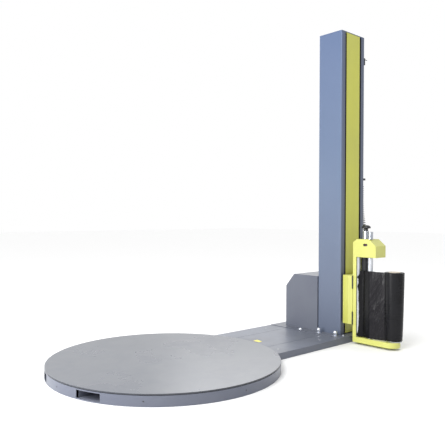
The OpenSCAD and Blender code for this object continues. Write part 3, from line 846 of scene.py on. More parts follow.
ROLLER_ALUMINIUM = Finish(
    "Roller aluminium",
    tone(196, 200, 206),
    tone(184, 188, 195),
    roughness=0.32,
    metallic=0.55,
    patch_scale=8.0,
    worn_colour=tone(186, 188, 190),
    worn_amount=0.3,
    worn_scale=12.0,
    streak_lay=Lay.AROUND_Z,
    streak_scale=700.0,
    streak_amount=0.25,
    streak_colour=tone(238, 239, 240),
    grain_scale=2000.0,
    grain_depth=0.000012,
)
MOTOR_GREY = Finish(
    "Motor paint",
    tone(92, 104, 126),
    tone(84, 95, 116),
    roughness=0.45,
    patch_scale=10.0,
    worn_colour=tone(140, 144, 150),
    worn_amount=0.4,
    worn_scale=14.0,
    grain_scale=300.0,
    grain_depth=0.00012,
    dust_amount=0.4,
)
BELT_RUBBER = Finish(
    "Belt rubber",
    tone(38, 38, 40),
    tone(48, 48, 50),
    roughness=0.72,
    patch_scale=20.0,
    worn_colour=tone(84, 82, 80),
    worn_amount=0.5,
    worn_scale=20.0,
    grain_scale=1100.0,
    grain_depth=0.00008,
    dust_amount=0.3,
)
CABLE_RUBBER = Finish(
    "Cable jacket",
    tone(30, 31, 35),
    tone(40, 41, 46),
    roughness=0.4,
    patch_scale=30.0,
    worn_colour=tone(80, 80, 84),
    worn_amount=0.2,
    worn_scale=50.0,
    grain_scale=1800.0,
    grain_depth=0.00002,
)
ROLLER_RUBBER = Finish(
    "Roller rubber",
    tone(20, 21, 23),
    tone(27, 28, 30),
    roughness=0.5,
    patch_scale=6.0,
    worn_colour=tone(70, 70, 74),
    worn_amount=0.3,
    worn_scale=10.0,
    streak_lay=Lay.AROUND_Z,
    streak_scale=260.0,
    streak_amount=0.25,
    streak_colour=tone(56, 56, 60),
    grain_scale=900.0,
    grain_depth=0.00004,
    specular=0.3,
)
BLACK_STEEL = Finish(
    "Blackened steel",
    tone(52, 54, 58),
    tone(62, 64, 68),
    roughness=0.42,
    metallic=0.6,
    patch_scale=16.0,
    worn_colour=tone(128, 128, 130),
    worn_amount=0.3,
    worn_scale=20.0,
    grain_scale=900.0,
    grain_depth=0.00004,
    dust_amount=0.1,
)
BLACK_PLASTIC = Finish(
    "Black plastic",
    tone(26, 27, 30),
    tone(34, 35, 38),
    roughness=0.3,
    patch_scale=20.0,
    worn_colour=tone(90, 90, 94),
    worn_amount=0.18,
    worn_scale=30.0,
    grain_scale=1300.0,
    grain_depth=0.00004,
)
NYLON = Finish(
    "White nylon",
    tone(226, 224, 214),
    tone(216, 213, 202),
    roughness=0.5,
    patch_scale=24.0,
    worn_colour=tone(170, 166, 156),
    worn_amount=0.35,
    worn_scale=26.0,
    grain_scale=1200.0,
    grain_depth=0.00004,
)
RED_PLASTIC = Finish(
    "Red plastic",
    tone(186, 30, 24),
    tone(170, 26, 22),
    roughness=0.3,
    patch_scale=24.0,
    worn_colour=tone(206, 110, 100),
    worn_amount=0.2,
    worn_scale=40.0,
    grain_scale=1400.0,
    grain_depth=0.00002,
)
GREEN_PLASTIC = replace(
    RED_PLASTIC,
    name="Green plastic",
    colour=tone(36, 132, 58),
    patch_colour=tone(30, 118, 52),
    worn_colour=tone(110, 176, 124),
)
YELLOW_MARK = Finish(
    "Yellow film mark",
    tone(236, 224, 60),
    tone(226, 214, 70),
    roughness=0.45,
    patch_scale=60.0,
    worn_colour=tone(170, 168, 120),
    worn_amount=0.7,
    worn_scale=40.0,
    grain_scale=1500.0,
    grain_depth=0.00002,
)
LENS_RED = Finish(
    "Sensor lens",
    tone(70, 10, 12),
    tone(90, 14, 16),
    roughness=0.12,
    roughness_swing=0.03,
    patch_scale=60.0,
    worn_amount=0.05,
    grain_scale=2400.0,
    grain_depth=0.000004,
    coat=0.6,
)
STRETCH_FILM = DrawnFilm(
    "Stretch film",
    tone(10, 10, 12),
    # Patch colour: the lighter patches are painted glints.
    tone(15, 15, 17),
    roughness=0.17,
    roughness_swing=0.06,
    patch_scale=14.0,
    worn_colour=tone(60, 60, 63),
    worn_amount=0.3,
    worn_scale=22.0,
    streak_lay=Lay.ALONG_Z,
    streak_scale=120.0,
    streak_amount=0.3,
    streak_colour=tone(44, 44, 47),
    grain_scale=500.0,
    grain_depth=0.00006,
    specular=0.13,
    free_colour=tone(36, 35, 38),
    free_from=-0.668,
    free_to=-0.545,
)
FILM_WINDING = Finish(
    "Wound film",
    tone(18, 18, 20),
    tone(24, 24, 27),
    roughness=0.28,
    roughness_swing=0.08,
    patch_scale=7.0,
    worn_colour=tone(52, 52, 55),
    worn_amount=0.25,
    worn_scale=16.0,
    streak_lay=Lay.CROSSWISE,
    streak_scale=180.0,
    streak_amount=0.3,
    streak_colour=tone(40, 40, 43),
    grain_scale=400.0,
    grain_depth=0.00005,
    specular=0.16,
)
BUTTON_PLATE = Finish(
    "Button plate",
    tone(206, 209, 214),
    tone(196, 199, 205),
    roughness=0.34,
    metallic=0.8,
    patch_scale=20.0,
    worn_colour=tone(170, 172, 176),
    worn_amount=0.3,
    worn_scale=20.0,
    streak_lay=Lay.ALONG_Z,
    streak_scale=800.0,
    streak_amount=0.3,
    streak_colour=tone(222, 224, 228),
    grain_scale=1800.0,
    grain_depth=0.00001,
)


# ------------------------------------------------------------- piece work


class Axis(Enum):
    """The line that a round piece is turned about."""

    X = (1.0, 0.0, 0.0)
    Z = (0.0, 0.0, 1.0)


def start_piece() -> None:
    """Leaves nothing selected, so that an operator acts on the new piece alone."""
    if bpy.context.object and bpy.context.object.mode != "OBJECT":
        bpy.ops.object.mode_set(mode="OBJECT")
    bpy.ops.object.select_all(action="DESELECT")


def finish_piece(name: str, flat_above: float = 35.0) -> bpy.types.Object:
    """Names the active piece, puts its place in its mesh and smooths it.

    Args:
        name: The piece's name.
        flat_above: The angle, in degrees, past which an edge stays sharp.

    Returns:
        The piece, at the origin and unturned.
    """
    if bpy.context.object.mode != "OBJECT":
        bpy.ops.object.mode_set(mode="OBJECT")
    piece = bpy.context.object
    piece.name = name
    piece.data.name = name
    bpy.ops.object.transform_apply(location=True, rotation=True, scale=True)
    bpy.ops.object.shade_smooth_by_angle(angle=math.radians(flat_above))
    return piece


def pick(kind: str, wanted: Callable[[Any], bool]) -> None:
    """Selects the faces, edges or vertices of the piece in edit mode.

    Args:
        kind: "faces", "edges" or "verts".
        wanted: Says whether an element is to be selected.
    """
    mode = {"faces": "FACE", "edges": "EDGE", "verts": "VERT"}[kind]
    bpy.ops.mesh.select_all(action="DESELECT")
    bpy.ops.mesh.select_mode(type=mode)
    mesh = bmesh.from_edit_mesh(bpy.context.object.data)
    for element in getattr(mesh, kind):
        element.select_set(bool(wanted(element)))
    mesh.select_flush_mode()
    bmesh.update_edit_mesh(bpy.context.object.data)


def turned(
    name: str,
    profile: Sequence[tuple[float, float]],
    centre: Point,
    axis: Axis = Axis.Z,
    steps: int = 48,
) -> bpy.types.Object:
    """Turns a piece on a lathe: extrudes its profile from a point and spins it.

    Args:
        name: The piece's name.
        profile: Radius and place along the axis of each corner. A profile that
            starts and ends at radius 0 is solid; one that ends where it starts
            is a ring.
        centre: The point on the axis that the places are measured from.
        axis: The axis.
        steps: How many sides the piece has.

    Returns:
        The turned piece.
    """
    along = Vector(axis.value)
    side = Vector((0, 0, 1)) if axis is not Axis.Z else Vector((1, 0, 0))
    corners = [Vector(centre) + side * r + along * a for r, a in profile]
    start_piece()
    bpy.ops.mesh.primitive_plane_add(size=0.001, location=corners[0])
    bpy.ops.object.transform_apply(location=True, rotation=True, scale=True)
    bpy.ops.object.mode_set(mode="EDIT")
    bpy.ops.mesh.select_mode(type="VERT")
    bpy.ops.mesh.select_all(action="SELECT")
    bpy.ops.mesh.merge(type="CENTER")
    for here, there in zip(corners, corners[1:]):
        bpy.ops.mesh.extrude_vertices_move(
            TRANSFORM_OT_translate={"value": there - here}
        )
    bpy.ops.mesh.select_all(action="SELECT")
    bpy.ops.mesh.spin(
        steps=steps, angle=2 * math.pi, center=centre, axis=along, use_auto_merge=True
    )
    bpy.ops.mesh.select_all(action="SELECT")
    bpy.ops.mesh.remove_doubles(threshold=1e-5)
    bpy.ops.mesh.normals_make_consistent(inside=False)
    return finish_piece(name)


def open_cuboid(middle: Sequence[float], sides: Sequence[float]) -> None:
    """Adds a cuboid and opens it for editing.

    Args:
        middle: Where its middle is.
        sides: How long it is along each axis.
    """
    start_piece()
    bpy.ops.mesh.primitive_cube_add(size=1, location=middle, scale=sides)
    bpy.ops.object.transform_apply(location=True, rotation=True, scale=True)
    bpy.ops.object.mode_set(mode="EDIT")


def block(
    name: str, low: Point, high: Point, round_edge: float = 0.001, segments: int = 2
) -> bpy.types.Object:
    """Makes a block with rounded edges.

    Args:
        name: The piece's name.
        low: Its lowest corner.
        high: Its highest corner.
        round_edge: How far its edges are rounded.
        segments: How many faces each rounding has.

    Returns:
        The block.
    """
    middle = [(a + b) / 2 for a, b in zip(low, high)]
    open_cuboid(middle, [b - a for a, b in zip(low, high)])
    bpy.ops.mesh.select_mode(type="VERT")
    bpy.ops.mesh.select_all(action="SELECT")
    bpy.ops.mesh.bevel(offset=round_edge, segments=segments, affect="EDGES")
    return finish_piece(name)


def twin(piece: bpy.types.Object, name: str, shift: Point) -> bpy.types.Object:
    """Copies a piece, with its own mesh, to another place.

    Args:
        piece: The piece to copy.
        name: The copy's name.
        shift: How far the copy stands from the piece.

    Returns:
        The copy.
    """
    copy = piece.copy()
    copy.data = piece.data.copy()
    copy.name = copy.data.name = name
    copy.data.transform(Matrix.Translation(shift))
    bpy.context.scene.collection.objects.link(copy)
    return copy


def repeated(piece: bpy.types.Object, shifts: Iterable[Point]) -> bpy.types.Object:
    """Joins a piece with copies of itself that are shifted from it."""
    copies = [twin(piece, f"{piece.name}_copy", shift) for shift in shifts]
    return joined(piece.name, [piece, *copies])


def joined(name: str, pieces: Sequence[bpy.types.Object]) -> bpy.types.Object:
    """Joins pieces that are one part of the machine.

    Args:
        name: The name of the whole.
        pieces: What it is made of.

    Returns:
        The whole.
    """
    start_piece()
    for piece in pieces:
        piece.select_set(True)
    bpy.context.view_layer.objects.active = pieces[0]
    bpy.ops.object.join()
    return finish_piece(name)


def mesh_piece(
    name: str, points: Iterable[Sequence[float]], faces: Iterable[Sequence[int]]
) -> bpy.types.Object:
    """Makes a piece from its points and faces, for sheets and cords.

    Args:
        name: The piece's name.
        points: Where the points are.
        faces: The point numbers of each face.

    Returns:
        The piece, smooth all over.
    """
    mesh = bpy.data.meshes.new(name)
    mesh.from_pydata([tuple(p) for p in points], [], [tuple(f) for f in faces])
    mesh.update()
    piece = bpy.data.objects.new(name, mesh)
    bpy.context.scene.collection.objects.link(piece)
    start_piece()
    piece.select_set(True)
    bpy.context.view_layer.objects.active = piece
    bpy.ops.object.shade_smooth()
    return piece


def dress(node: str, finish: Finish) -> None:
    """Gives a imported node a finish.

    Args:
        node: The node's name.
        finish: The finish for every one of its material slots.
    """
    for slot in bpy.data.objects[node].material_slots:
        slot.material = finish.material()
    LOG.info("dressed %s in %s", node, finish.name)


def fit(
    piece: bpy.types.Object,
    finish: Finish,
    body: str,
    stands_for: Sequence[str] = (),
) -> bpy.types.Object:
    """Dresses a new piece and mounts it on a body.

    Args:
        piece: The finished piece.
        finish: Its finish.
        body: The body that it moves with.
        stands_for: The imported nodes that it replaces.

    Returns:
        The piece.
    """
    piece.data.materials.clear()
    piece.data.materials.append(finish.material())
    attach(piece, body)
    if stands_for:
        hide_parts(*stands_for)
    LOG.info("fitted %s to %s", piece.name, body)
    return piece


# ------------------------------------------------------------ sub-assemblies

# Where the three rollers stand, seen from above, and where the hinge screws sit.
BRAKE_AT: Spot = (1.567, -0.478)
EXIT_AT: Spot = (1.530, -0.542)
ENTRY_AT: Spot = (1.532, -0.430)
HINGE_LEAF_FACE = 1.498
HINGE_SCREW_HEIGHTS = (0.168, 0.201, 0.234, 0.446, 0.479, 0.512)


@dataclass(frozen=True)
class Lamp:
    """A square soft lamp: where it hangs, what it points at, its side and power."""

    name: str
    place: Point
    target: Point
    side: float
    power: float


@dataclass
class Studio:
    """The pale floor, the soft lights and the camera."""

    floor_side: float = 60.0
    floor_coat: tuple[float, ...] = (0.97, 0.9, 0.05)
    camera_place: Point = (-2.15981, -2.93123, 0.98746)
    camera_heading: float = 47.79
    camera_dip: float = 0.64
    camera_roll: float = 0.19
    lens: float = 45.19
    sensor: float = 36.0
    sky: Colour = (1.0, 1.0, 1.0)
    sky_strength: float = 1.0
    lamps: tuple[Lamp, ...] = (
        Lamp("key", (-4.2, -1.4, 4.4), (0.9, 0.0, 0.8), 3.4, 262.0),
        Lamp("glint", (-2.8, 0.4, 0.55), (1.58, -0.7, 0.4), 0.8, 46.0),
        Lamp("rim", (4.6, 3.6, 3.8), (1.2, 0.0, 1.0), 3.0, 90.0),
    )
    flag_place: Point = (2.4, -4.6, 1.8)
    flag_side: float = 3.6
    flag_coat: tuple[float, ...] = (0.03, 1.0, 0.5)

    def build(self) -> None:
        """Sets up the whole studio."""
        bpy.context.scene.view_settings.view_transform = "Standard"
        self._floor()
        self._sky()
        for lamp in self.lamps:
            self._hang(lamp)
        self._flag()
        self._camera()

    def _floor(self) -> None:
        """Lays the floor."""
        start_piece()
        bpy.ops.mesh.primitive_plane_add(size=self.floor_side, location=(0, 0, 0))
        self._coat(finish_piece("floor"), "Pale floor", *self.floor_coat)

    def _sky(self) -> None:
        """Lights the scene evenly from all round."""
        world = bpy.data.worlds.new("Studio")
        world.use_nodes = True
        light = world.node_tree.nodes["Background"]
        light.inputs["Color"].default_value = (*self.sky, 1.0)
        light.inputs["Strength"].default_value = self.sky_strength
        bpy.context.scene.world = world

    def _flag(self) -> None:
        """Stands a dark card at the right, out of sight, to deepen that side."""
        start_piece()
        bpy.ops.mesh.primitive_plane_add(
            size=self.flag_side,
            location=self.flag_place,
            rotation=(math.radians(90), 0, 0),
        )
        flag = finish_piece("flag")
        self._coat(flag, "Dark card", *self.flag_coat)
        flag.visible_camera = False
        flag.visible_glossy = False

    @staticmethod
    def _coat(
        sheet: bpy.types.Object, name: str, grey: float, roughness: float, specular: float
    ) -> None:
        """Gives a stage sheet one even grey.

        Args:
            sheet: The floor or the card.
            name: The material's name.
            grey: How light it is.
            roughness: How matt it is.
            specular: How strongly it mirrors.
        """
        material = bpy.data.materials.new(name)
        material.use_nodes = True
        shader = material.node_tree.nodes["Principled BSDF"]
        shader.inputs["Base Color"].default_value = (grey, grey, grey, 1.0)
        shader.inputs["Roughness"].default_value = roughness
        shader.inputs["Specular IOR Level"].default_value = specular
        sheet.data.materials.append(material)

    @staticmethod
    def _hang(lamp: Lamp) -> None:
        """Hangs a lamp and points it.

        Args:
            lamp: The lamp.
        """
        light = bpy.data.lights.new(lamp.name, "AREA")
        light.shape, light.size, light.energy = "SQUARE", lamp.side, lamp.power
        holder = bpy.data.objects.new(lamp.name, light)
        holder.location = lamp.place
        aim = Vector(lamp.target) - Vector(lamp.place)
        holder.rotation_euler = aim.to_track_quat("-Z", "Y").to_euler()
        bpy.context.scene.collection.objects.link(holder)

    def _camera(self) -> None:
        """Stands the camera in front of the turntable, level with the cabinet."""
        turn, dip = math.radians(self.camera_heading), math.radians(self.camera_dip)
        ahead = Vector(
            (
                math.cos(turn) * math.cos(dip),
                math.sin(turn) * math.cos(dip),
                -math.sin(dip),
            )
        )
        right = Vector((math.sin(turn), -math.cos(turn), 0.0))
        lift = right.cross(ahead)
        roll = math.radians(self.camera_roll)
        side = right * math.cos(roll) + lift * math.sin(roll)
        upward = lift * math.cos(roll) - right * math.sin(roll)
        facing = Matrix((side, upward, -ahead)).transposed().to_4x4()
        data = bpy.data.cameras.new("camera")
        data.lens, data.sensor_width = self.lens, self.sensor
        camera = bpy.data.objects.new("camera", data)
        camera.matrix_world = Matrix.Translation(self.camera_place) @ facing
        bpy.context.scene.collection.objects.link(camera)
        bpy.context.scene.camera = camera


@dataclass
class CurlyCable:
    """The curled cable that hangs behind the mast and feeds the trolley."""

    route: tuple[Point, ...] = (
        (1.836, -0.258, 1.290),
        (1.836, -0.258, 1.230),
        (1.836, -0.258, 1.170),
        (1.836, -0.258, 1.110),
        (1.836, -0.260, 1.050),
        (1.835, -0.268, 0.990),
        (1.832, -0.281, 0.930),
        (1.826, -0.297, 0.870),
        (1.817, -0.313, 0.810),
        (1.805, -0.328, 0.750),
        (1.790, -0.341, 0.690),
        (1.775, -0.351, 0.630),
        (1.764, -0.357, 0.600),
        (1.760, -0.359, 0.570),
        (1.760, -0.359, 0.544),
    )
    thickness: float = 0.006
    curl: float = 0.012
    pitch: float = 0.016
    lead: float = 0.030
    opening: float = 0.020
    per_turn: int = 14
    length: float = 3.35

    def build(self) -> None:
        path = self._wound(self._smoothed())
        cable = self._tube(path)
        cable.data.materials.append(CABLE_RUBBER.material())
        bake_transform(cable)
        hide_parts("spiral_cable")
        reliefs = [
            fit(self._relief(name, place, way), BLACK_PLASTIC, body)
            for name, place, way, body in (
                ("cable_relief_upper", self.route[0], -1, "root"),
                ("cable_relief_lower", self.route[-1], 1, "trolley"),
            )
        ]
        LOG.info("wound the curly cable")

    def _smoothed(self, steps: int = 30) -> list[Vector]:
        """Gives the route as close points on one smooth curve.

        Args:
            steps: How many points lie between two stops.

        Returns:
            The points.
        """
        stops = [Vector(p) for p in self.route]
        ends = [2 * stops[0] - stops[1], *stops, 2 * stops[-1] - stops[-2]]
        line = []
        for a, b, c, d in zip(ends, ends[1:], ends[2:], ends[3:]):
            for step in range(steps):
                t = step / steps
                line.append(
                    0.5
                    * (
                        2 * b
                        + (c - a) * t
                        + (2 * a - 5 * b + 4 * c - d) * t * t
                        + (3 * b - a - 3 * c + d) * t**3
                    )
                )
        return [*line, stops[-1]]

    def _wound(self, line: Sequence[Vector]) -> list[Vector]:
        """Winds the cable round its route.

        Args:
            line: The route as close points.

        Returns:
            The cable's own centreline, straight at both ends.
        """
        along = [0.0]
        for a, b in zip(line, line[1:]):
            along.append(along[-1] + (b - a).length)
        total = along[-1]
        count = round(total * self.per_turn / self.pitch)
        path, index = [], 0
        side = Vector((1.0, 0.0, 0.0))
        for number in range(count):
            at = total * number / count
            while along[index + 1] < at:
                index += 1
            share = (at - along[index]) / (along[index + 1] - along[index])
            middle = line[index].lerp(line[index + 1], share)
            ahead = (line[index + 1] - line[index]).normalized()
            side = (side - ahead * side.dot(ahead)).normalized()
            inside = min(at - self.lead, total - self.lead - at)
            reach = self.curl * smooth(inside / self.opening)
            angle = 2 * math.pi * at / self.pitch
            out = side * math.cos(angle) + ahead.cross(side) * math.sin(angle)
            path.append(middle + out * reach)
        return [*path, line[-1]]

    def _tube(self, path: Sequence[Vector], sides: int = 8) -> bpy.types.Object:
        """Gives the centreline its round jacket.

        Args:
            path: The cable's centreline.
            sides: How many faces go round it.

        Returns:
            The cable.
        """
        points, faces = [], []
        side = Vector((1.0, 0.0, 0.0))
        for i, point in enumerate(path):
            ahead = path[min(i + 1, len(path) - 1)] - path[max(i - 1, 0)]
            ahead.normalize()
            side = (side - ahead * side.dot(ahead)).normalized()
            across = ahead.cross(side)
            for k in range(sides):
                angle = 2 * math.pi * k / sides
                out = side * math.cos(angle) + across * math.sin(angle)
                points.append(point + out * self.thickness / 2)
        for i in range(len(path) - 1):
            for k in range(sides):
                a, b = i * sides + k, i * sides + (k + 1) % sides
                faces.append((a, b, b + sides, a + sides))
        faces.append(tuple(range(sides))[::-1])
        faces.append(tuple(len(points) - sides + k for k in range(sides)))
        return mesh_piece("spiral_cable_wound", points, faces)

    def _relief(self, name: str, place: Point, way: int) -> bpy.types.Object:
        """Turns a ribbed, tapered sleeve for one end of the cable.

        Args:
            name: The piece's name.
            place: Where the cable leaves.
            way: 1 for a sleeve that points up and -1 for one that points down.

        Returns:
            The sleeve.
        """
        bore = self.thickness / 2 + 0.0001
        profile = [(bore, 0.0), (0.0095, 0.0), (0.0095, 0.004)]
        for rib in range(4):
            base = 0.006 + rib * 0.005
            radius = 0.0078 - rib * 0.0010
            profile += [(radius - 0.0012, base), (radius, base + 0.001)]
            profile += [(radius - 0.0003, base + 0.0035)]
        profile += [(0.0040, 0.0275), (bore, 0.028), (bore, 0.0)]
        return turned(
            name, [(r, way * z) for r, z in profile], place, Axis.Z, steps=24
        )


@dataclass
class TurntableSet:
    """The turning plate, what drives it and what carries it."""

    def build(self) -> None:
        """Dresses the turntable and its drive."""
        dress("turntable_plate", TABLE_GREY)
        for node in ("table_pulley", "motor_pulley", "centre_post", "centre_bearing"):
            dress(node, GROUND_STEEL)
        dress("roller_brackets", ZINC)
        for number in range(1, 7):
            dress(f"support_roller_{number}", NYLON)
        dress("drive_motor", MOTOR_GREY)
        dress("drive_belt", BELT_RUBBER)


@dataclass
class BaseAndNeck:
    """The floor plate, ring, fork pockets and the neck with its deck covers."""

    deck: float = 0.049
    screw_rows: tuple[float, ...] = (0.780, 1.244)
    screw_offset: float = 0.2825
    mark_place: Spot = (0.838, -0.038)
    mark_size: Spot = (0.046, 0.064)
    mark_slant: float = 0.3
    ring_radius: float = 0.750
    hole_height: float = 0.0295
    foot_top: float = 0.052
    nut_columns: Spot = (1.447, 1.831)
    nut_rows: Spot = (-0.280, -0.120)
    low_bolt_place: Spot = (1.440, 0.065)
    edge_bolt_place: Spot = (1.485, -0.330)

    def build(self) -> None:
        """Dresses the base and fits its screws and mark."""
        for node in (
            "base_plate",
            "base_ring",
            "fork_tunnels",
            "neck_frame",
            "mast_foot",
        ):
            dress(node, FRAME_BLUE)
        # The deck covers take the frame paint with painted light.
        dress("neck_covers", FRAME_BLUE_LIT)
        self._screws()
        self._foot_fasteners()
        self._mark()
        self._ring_plugs()

    def _screws(self) -> None:
        """Turns one flat-headed screw with a socket and sets four of them."""
        head = turned(
            "cover_screw_heads",
            [
                (0.0, 0.0),
                (0.0072, 0.0),
                (0.0075, 0.0006),
                (0.0066, 0.0020),
                (0.0040, 0.0026),
                (0.0026, 0.0026),
                (0.0024, 0.0010),
                (0.0, 0.0010),
            ],
            (self.screw_rows[0], -self.screw_offset, self.deck),
            steps=24,
        )
        shifts = [
            (x - self.screw_rows[0], y, 0)
            for x in self.screw_rows
            for y in (0, 2 * self.screw_offset)
        ]
        fit(repeated(head, shifts[1:]), ZINC, "root", ["cover_screws"])

    def _foot_fasteners(self) -> None:
        """Sets the cap nuts round the mast's foot, the low bolt and the edge bolt."""
        corner = (self.nut_columns[0], self.nut_rows[0], self.foot_top)
        washer = turned(
            "nut_washer",
            [
                (0.0, 0.0),
                (0.0225, 0.0),
                (0.0230, 0.0007),
                (0.0230, 0.0024),
                (0.0222, 0.0032),
                (0.0, 0.0032),
            ],
            corner,
            steps=48,
        )
        flats = turned(
            "nut_flats",
            [
                (0.0, 0.003),
                (0.0190, 0.003),
                (0.0203, 0.0046),
                (0.0203, 0.0185),
                (0.0186, 0.0200),
                (0.0, 0.0200),
            ],
            corner,
            steps=6,
        )
        cap = turned(
            "nut_cap",
            [
                (0.0, 0.018),
                (0.0166, 0.018),
                (0.0168, 0.0235),
                (0.0161, 0.0290),
                (0.0140, 0.0342),
                (0.0106, 0.0380),
                (0.0056, 0.0403),
                (0.0, 0.0410),
            ],
            corner,
            steps=48,
        )
        nut = joined("mast_foot_nuts", [washer, flats, cap])
        shifts = [
            (x - self.nut_columns[0], y - self.nut_rows[0], 0)
            for x in self.nut_columns
            for y in self.nut_rows
        ]
        low_bolt = turned(
            "low_bolt",
            [
                (0.0, 0.0),
                (0.0235, 0.0),
                (0.0240, 0.0008),
                (0.0236, 0.0030),
                (0.0150, 0.0034),
                (0.0146, 0.0060),
                (0.0122, 0.0092),
                (0.0070, 0.0104),
                (0.0, 0.0106),
            ],
            (*self.low_bolt_place, self.foot_top),
            steps=48,
        )
        edge_bolt = turned(
            "edge_bolt",
            [
                (0.0, 0.0),
                (0.0100, 0.0),
                (0.0100, 0.0018),
                (0.0082, 0.0020),
                (0.0082, 0.0088),
                (0.0070, 0.0100),
                (0.0, 0.0100),
            ],
            (*self.edge_bolt_place, self.foot_top),
            steps=12,
        )
        nuts = joined(
            "mast_foot_nuts", [repeated(nut, shifts[1:]), low_bolt, edge_bolt]
        )
        fit(nuts, NUT_CHROME, "root", ["foot_bolts"])

    def _mark(self) -> None:
        """Sticks the yellow mark on the deck, beside the turntable."""
        x, y = self.mark_place
        long, wide = self.mark_size
        middle = (x + long / 2, y + wide / 2, self.deck + 0.0002)
        open_cuboid(middle, (long, wide, 0.0004))
        pick("verts", lambda v: v.co.y < y + wide / 2 and v.co.x > x + long / 2)
        bpy.ops.transform.translate(value=(-long * self.mark_slant, 0.0, 0.0))
        pick("edges", lambda e: abs(e.verts[0].co.z - e.verts[1].co.z) > 0.0002)
        bpy.ops.mesh.bevel(offset=0.003, segments=3, affect="EDGES")
        fit(finish_piece("neck_mark"), YELLOW_MARK, "root")

    def _ring_plugs(self) -> None:
        """Turns a rubber plug for each hole of the base ring."""
        plugs = []
        for number in range(1, 8):
            plug = turned(
                "ring_plugs",
                [
                    (0.0, -0.0015),
                    (0.0018, -0.0015),
                    (0.0026, -0.0008),
                    (0.0042, -0.0008),
                    (0.0045, -0.0012),
                    (0.0045, -0.0040),
                    (0.0, -0.0040),
                ],
                (self.ring_radius, 0.0, self.hole_height),
                Axis.X,
                steps=20,
            )
            plug.data.transform(Matrix.Rotation(math.radians(45 * number), 4, "Z"))
            plugs.append(plug)
        fit(joined("ring_plugs", plugs), BLACK_PLASTIC, "root")


@dataclass
class Mast:
    """The folded mast, its cover strip, rails and lift drive."""

    rear_face: float = 1.805
    cap_screw_height: float = 2.436
    cap_screw_sides: tuple[float, ...] = (-0.262, -0.104)
    slot_faces: tuple[float, ...] = (1.542, 1.560, 1.737, 1.760)
    slot_mouth: float = -0.2935
    seal: float = 0.0016
    seal_depth: float = 0.0235
    seal_low: float = 0.062
    seal_high: float = 2.444

    def build(self) -> None:
        """Dresses the mast and what stands in it."""
        dress("mast_shell", MAST_BLUE)
        dress("mast_cap", MAST_BLUE)
        dress("mast_strip", LIME_STRIP)
        dress("guide_rails", GROUND_STEEL)
        dress("lift_motor", MOTOR_GREY)
        dress("lift_belt", BELT_RUBBER)
        dress("pulley_bracket", ZINC)
        dress("top_pulley", GROUND_STEEL)
        dress("bottom_pulley", GROUND_STEEL)
        dress("cable_brackets", BLACK_STEEL)
        self._cap_screws()
        self._seals()

    def _seals(self) -> None:
        """Lines both sides of the two slots with rubber."""
        strips = []
        bottom = self.slot_mouth + self.seal_depth
        for number, face in enumerate(self.slot_faces):
            left = face - self.seal * (number % 2)
            strips.append(
                block(
                    "slot_seals",
                    (left, self.slot_mouth, self.seal_low),
                    (left + self.seal, bottom, self.seal_high),
                    round_edge=0.0004,
                    segments=1,
                )
            )
        fit(joined("slot_seals", strips), BELT_RUBBER, "root")

    def _cap_screws(self) -> None:
        """Turns the screws that hold the cap at the mast's back."""
        first = turned(
            "cap_screws",
            [
                (0.0, 0.0),
                (0.0058, 0.0),
                (0.0058, 0.0012),
                (0.0045, 0.0026),
                (0.0022, 0.0030),
                (0.0020, 0.0014),
                (0.0, 0.0014),
            ],
            (self.rear_face, self.cap_screw_sides[0], self.cap_screw_height),
            Axis.X,
            steps=20,
        )
        shift = (0, self.cap_screw_sides[1] - self.cap_screw_sides[0], 0)
        fit(repeated(first, [shift]), ZINC, "root")


@dataclass
class Trolley:
    """The yellow box that rides up the mast, with half of each hinge."""

    front: float = 1.500
    near_mast: float = -0.3135
    fold: float = -0.357
    low: float = 0.152
    high: float = 0.528
    gland: Point = (1.760, -0.359, 0.530)
    leaf_middle: float = -0.3882

    def build(self) -> None:
        """Dresses the trolley and fits its cover, gland and hinge screws."""
        dress("trolley_bracket", LIME)
        dress("trolley_frame", BLACK_STEEL)
        dress("guide_shoes", NYLON)
        dress("hinge_fixed_leaves", LIME_HINGE)
        cover = block(
            "trolley_cover",
            (self.front - 0.0015, self.fold, self.low),
            (self.front, self.near_mast, self.high),
            round_edge=0.0006,
        )
        # The cover takes the lime paint with painted shade.
        fit(cover, LIME_PAINTED_SHADE, "trolley")
        gland = turned(
            "trolley_gland",
            [
                (0.0128, 0.0),
                (0.0150, 0.0),
                (0.0150, 0.006),
                (0.0136, 0.0075),
                (0.0136, 0.0125),
                (0.0128, 0.0138),
                (0.0128, 0.0),
            ],
            self.gland,
            steps=6,
        )
        fit(gland, BLACK_PLASTIC, "trolley")
        screws = hinge_screws("hinge_screws_fixed", self.leaf_middle)
        fit(screws, LIME, "trolley")


def hinge_screws(name: str, middle: float) -> bpy.types.Object:
    """Makes a row of dome-headed screws on a hinge leaf that faces -X.

    Args:
        name: The piece's name.
        middle: Where the leaf's middle is along Y.

    Returns:
        The row of screws as one piece.
    """
    first = turned(
        name,
        [
            (0.0, 0.0),
            (0.0034, 0.0),
            (0.0032, -0.0007),
            (0.0022, -0.0014),
            (0.0012, -0.0016),
            (0.0010, -0.0009),
            (0.0, -0.0009),
        ],
        (HINGE_LEAF_FACE, middle, HINGE_SCREW_HEIGHTS[0]),
        Axis.X,
        steps=16,
    )
    rises = [height - HINGE_SCREW_HEIGHTS[0] for height in HINGE_SCREW_HEIGHTS[1:]]
    return repeated(first, [(0, 0, rise) for rise in rises])


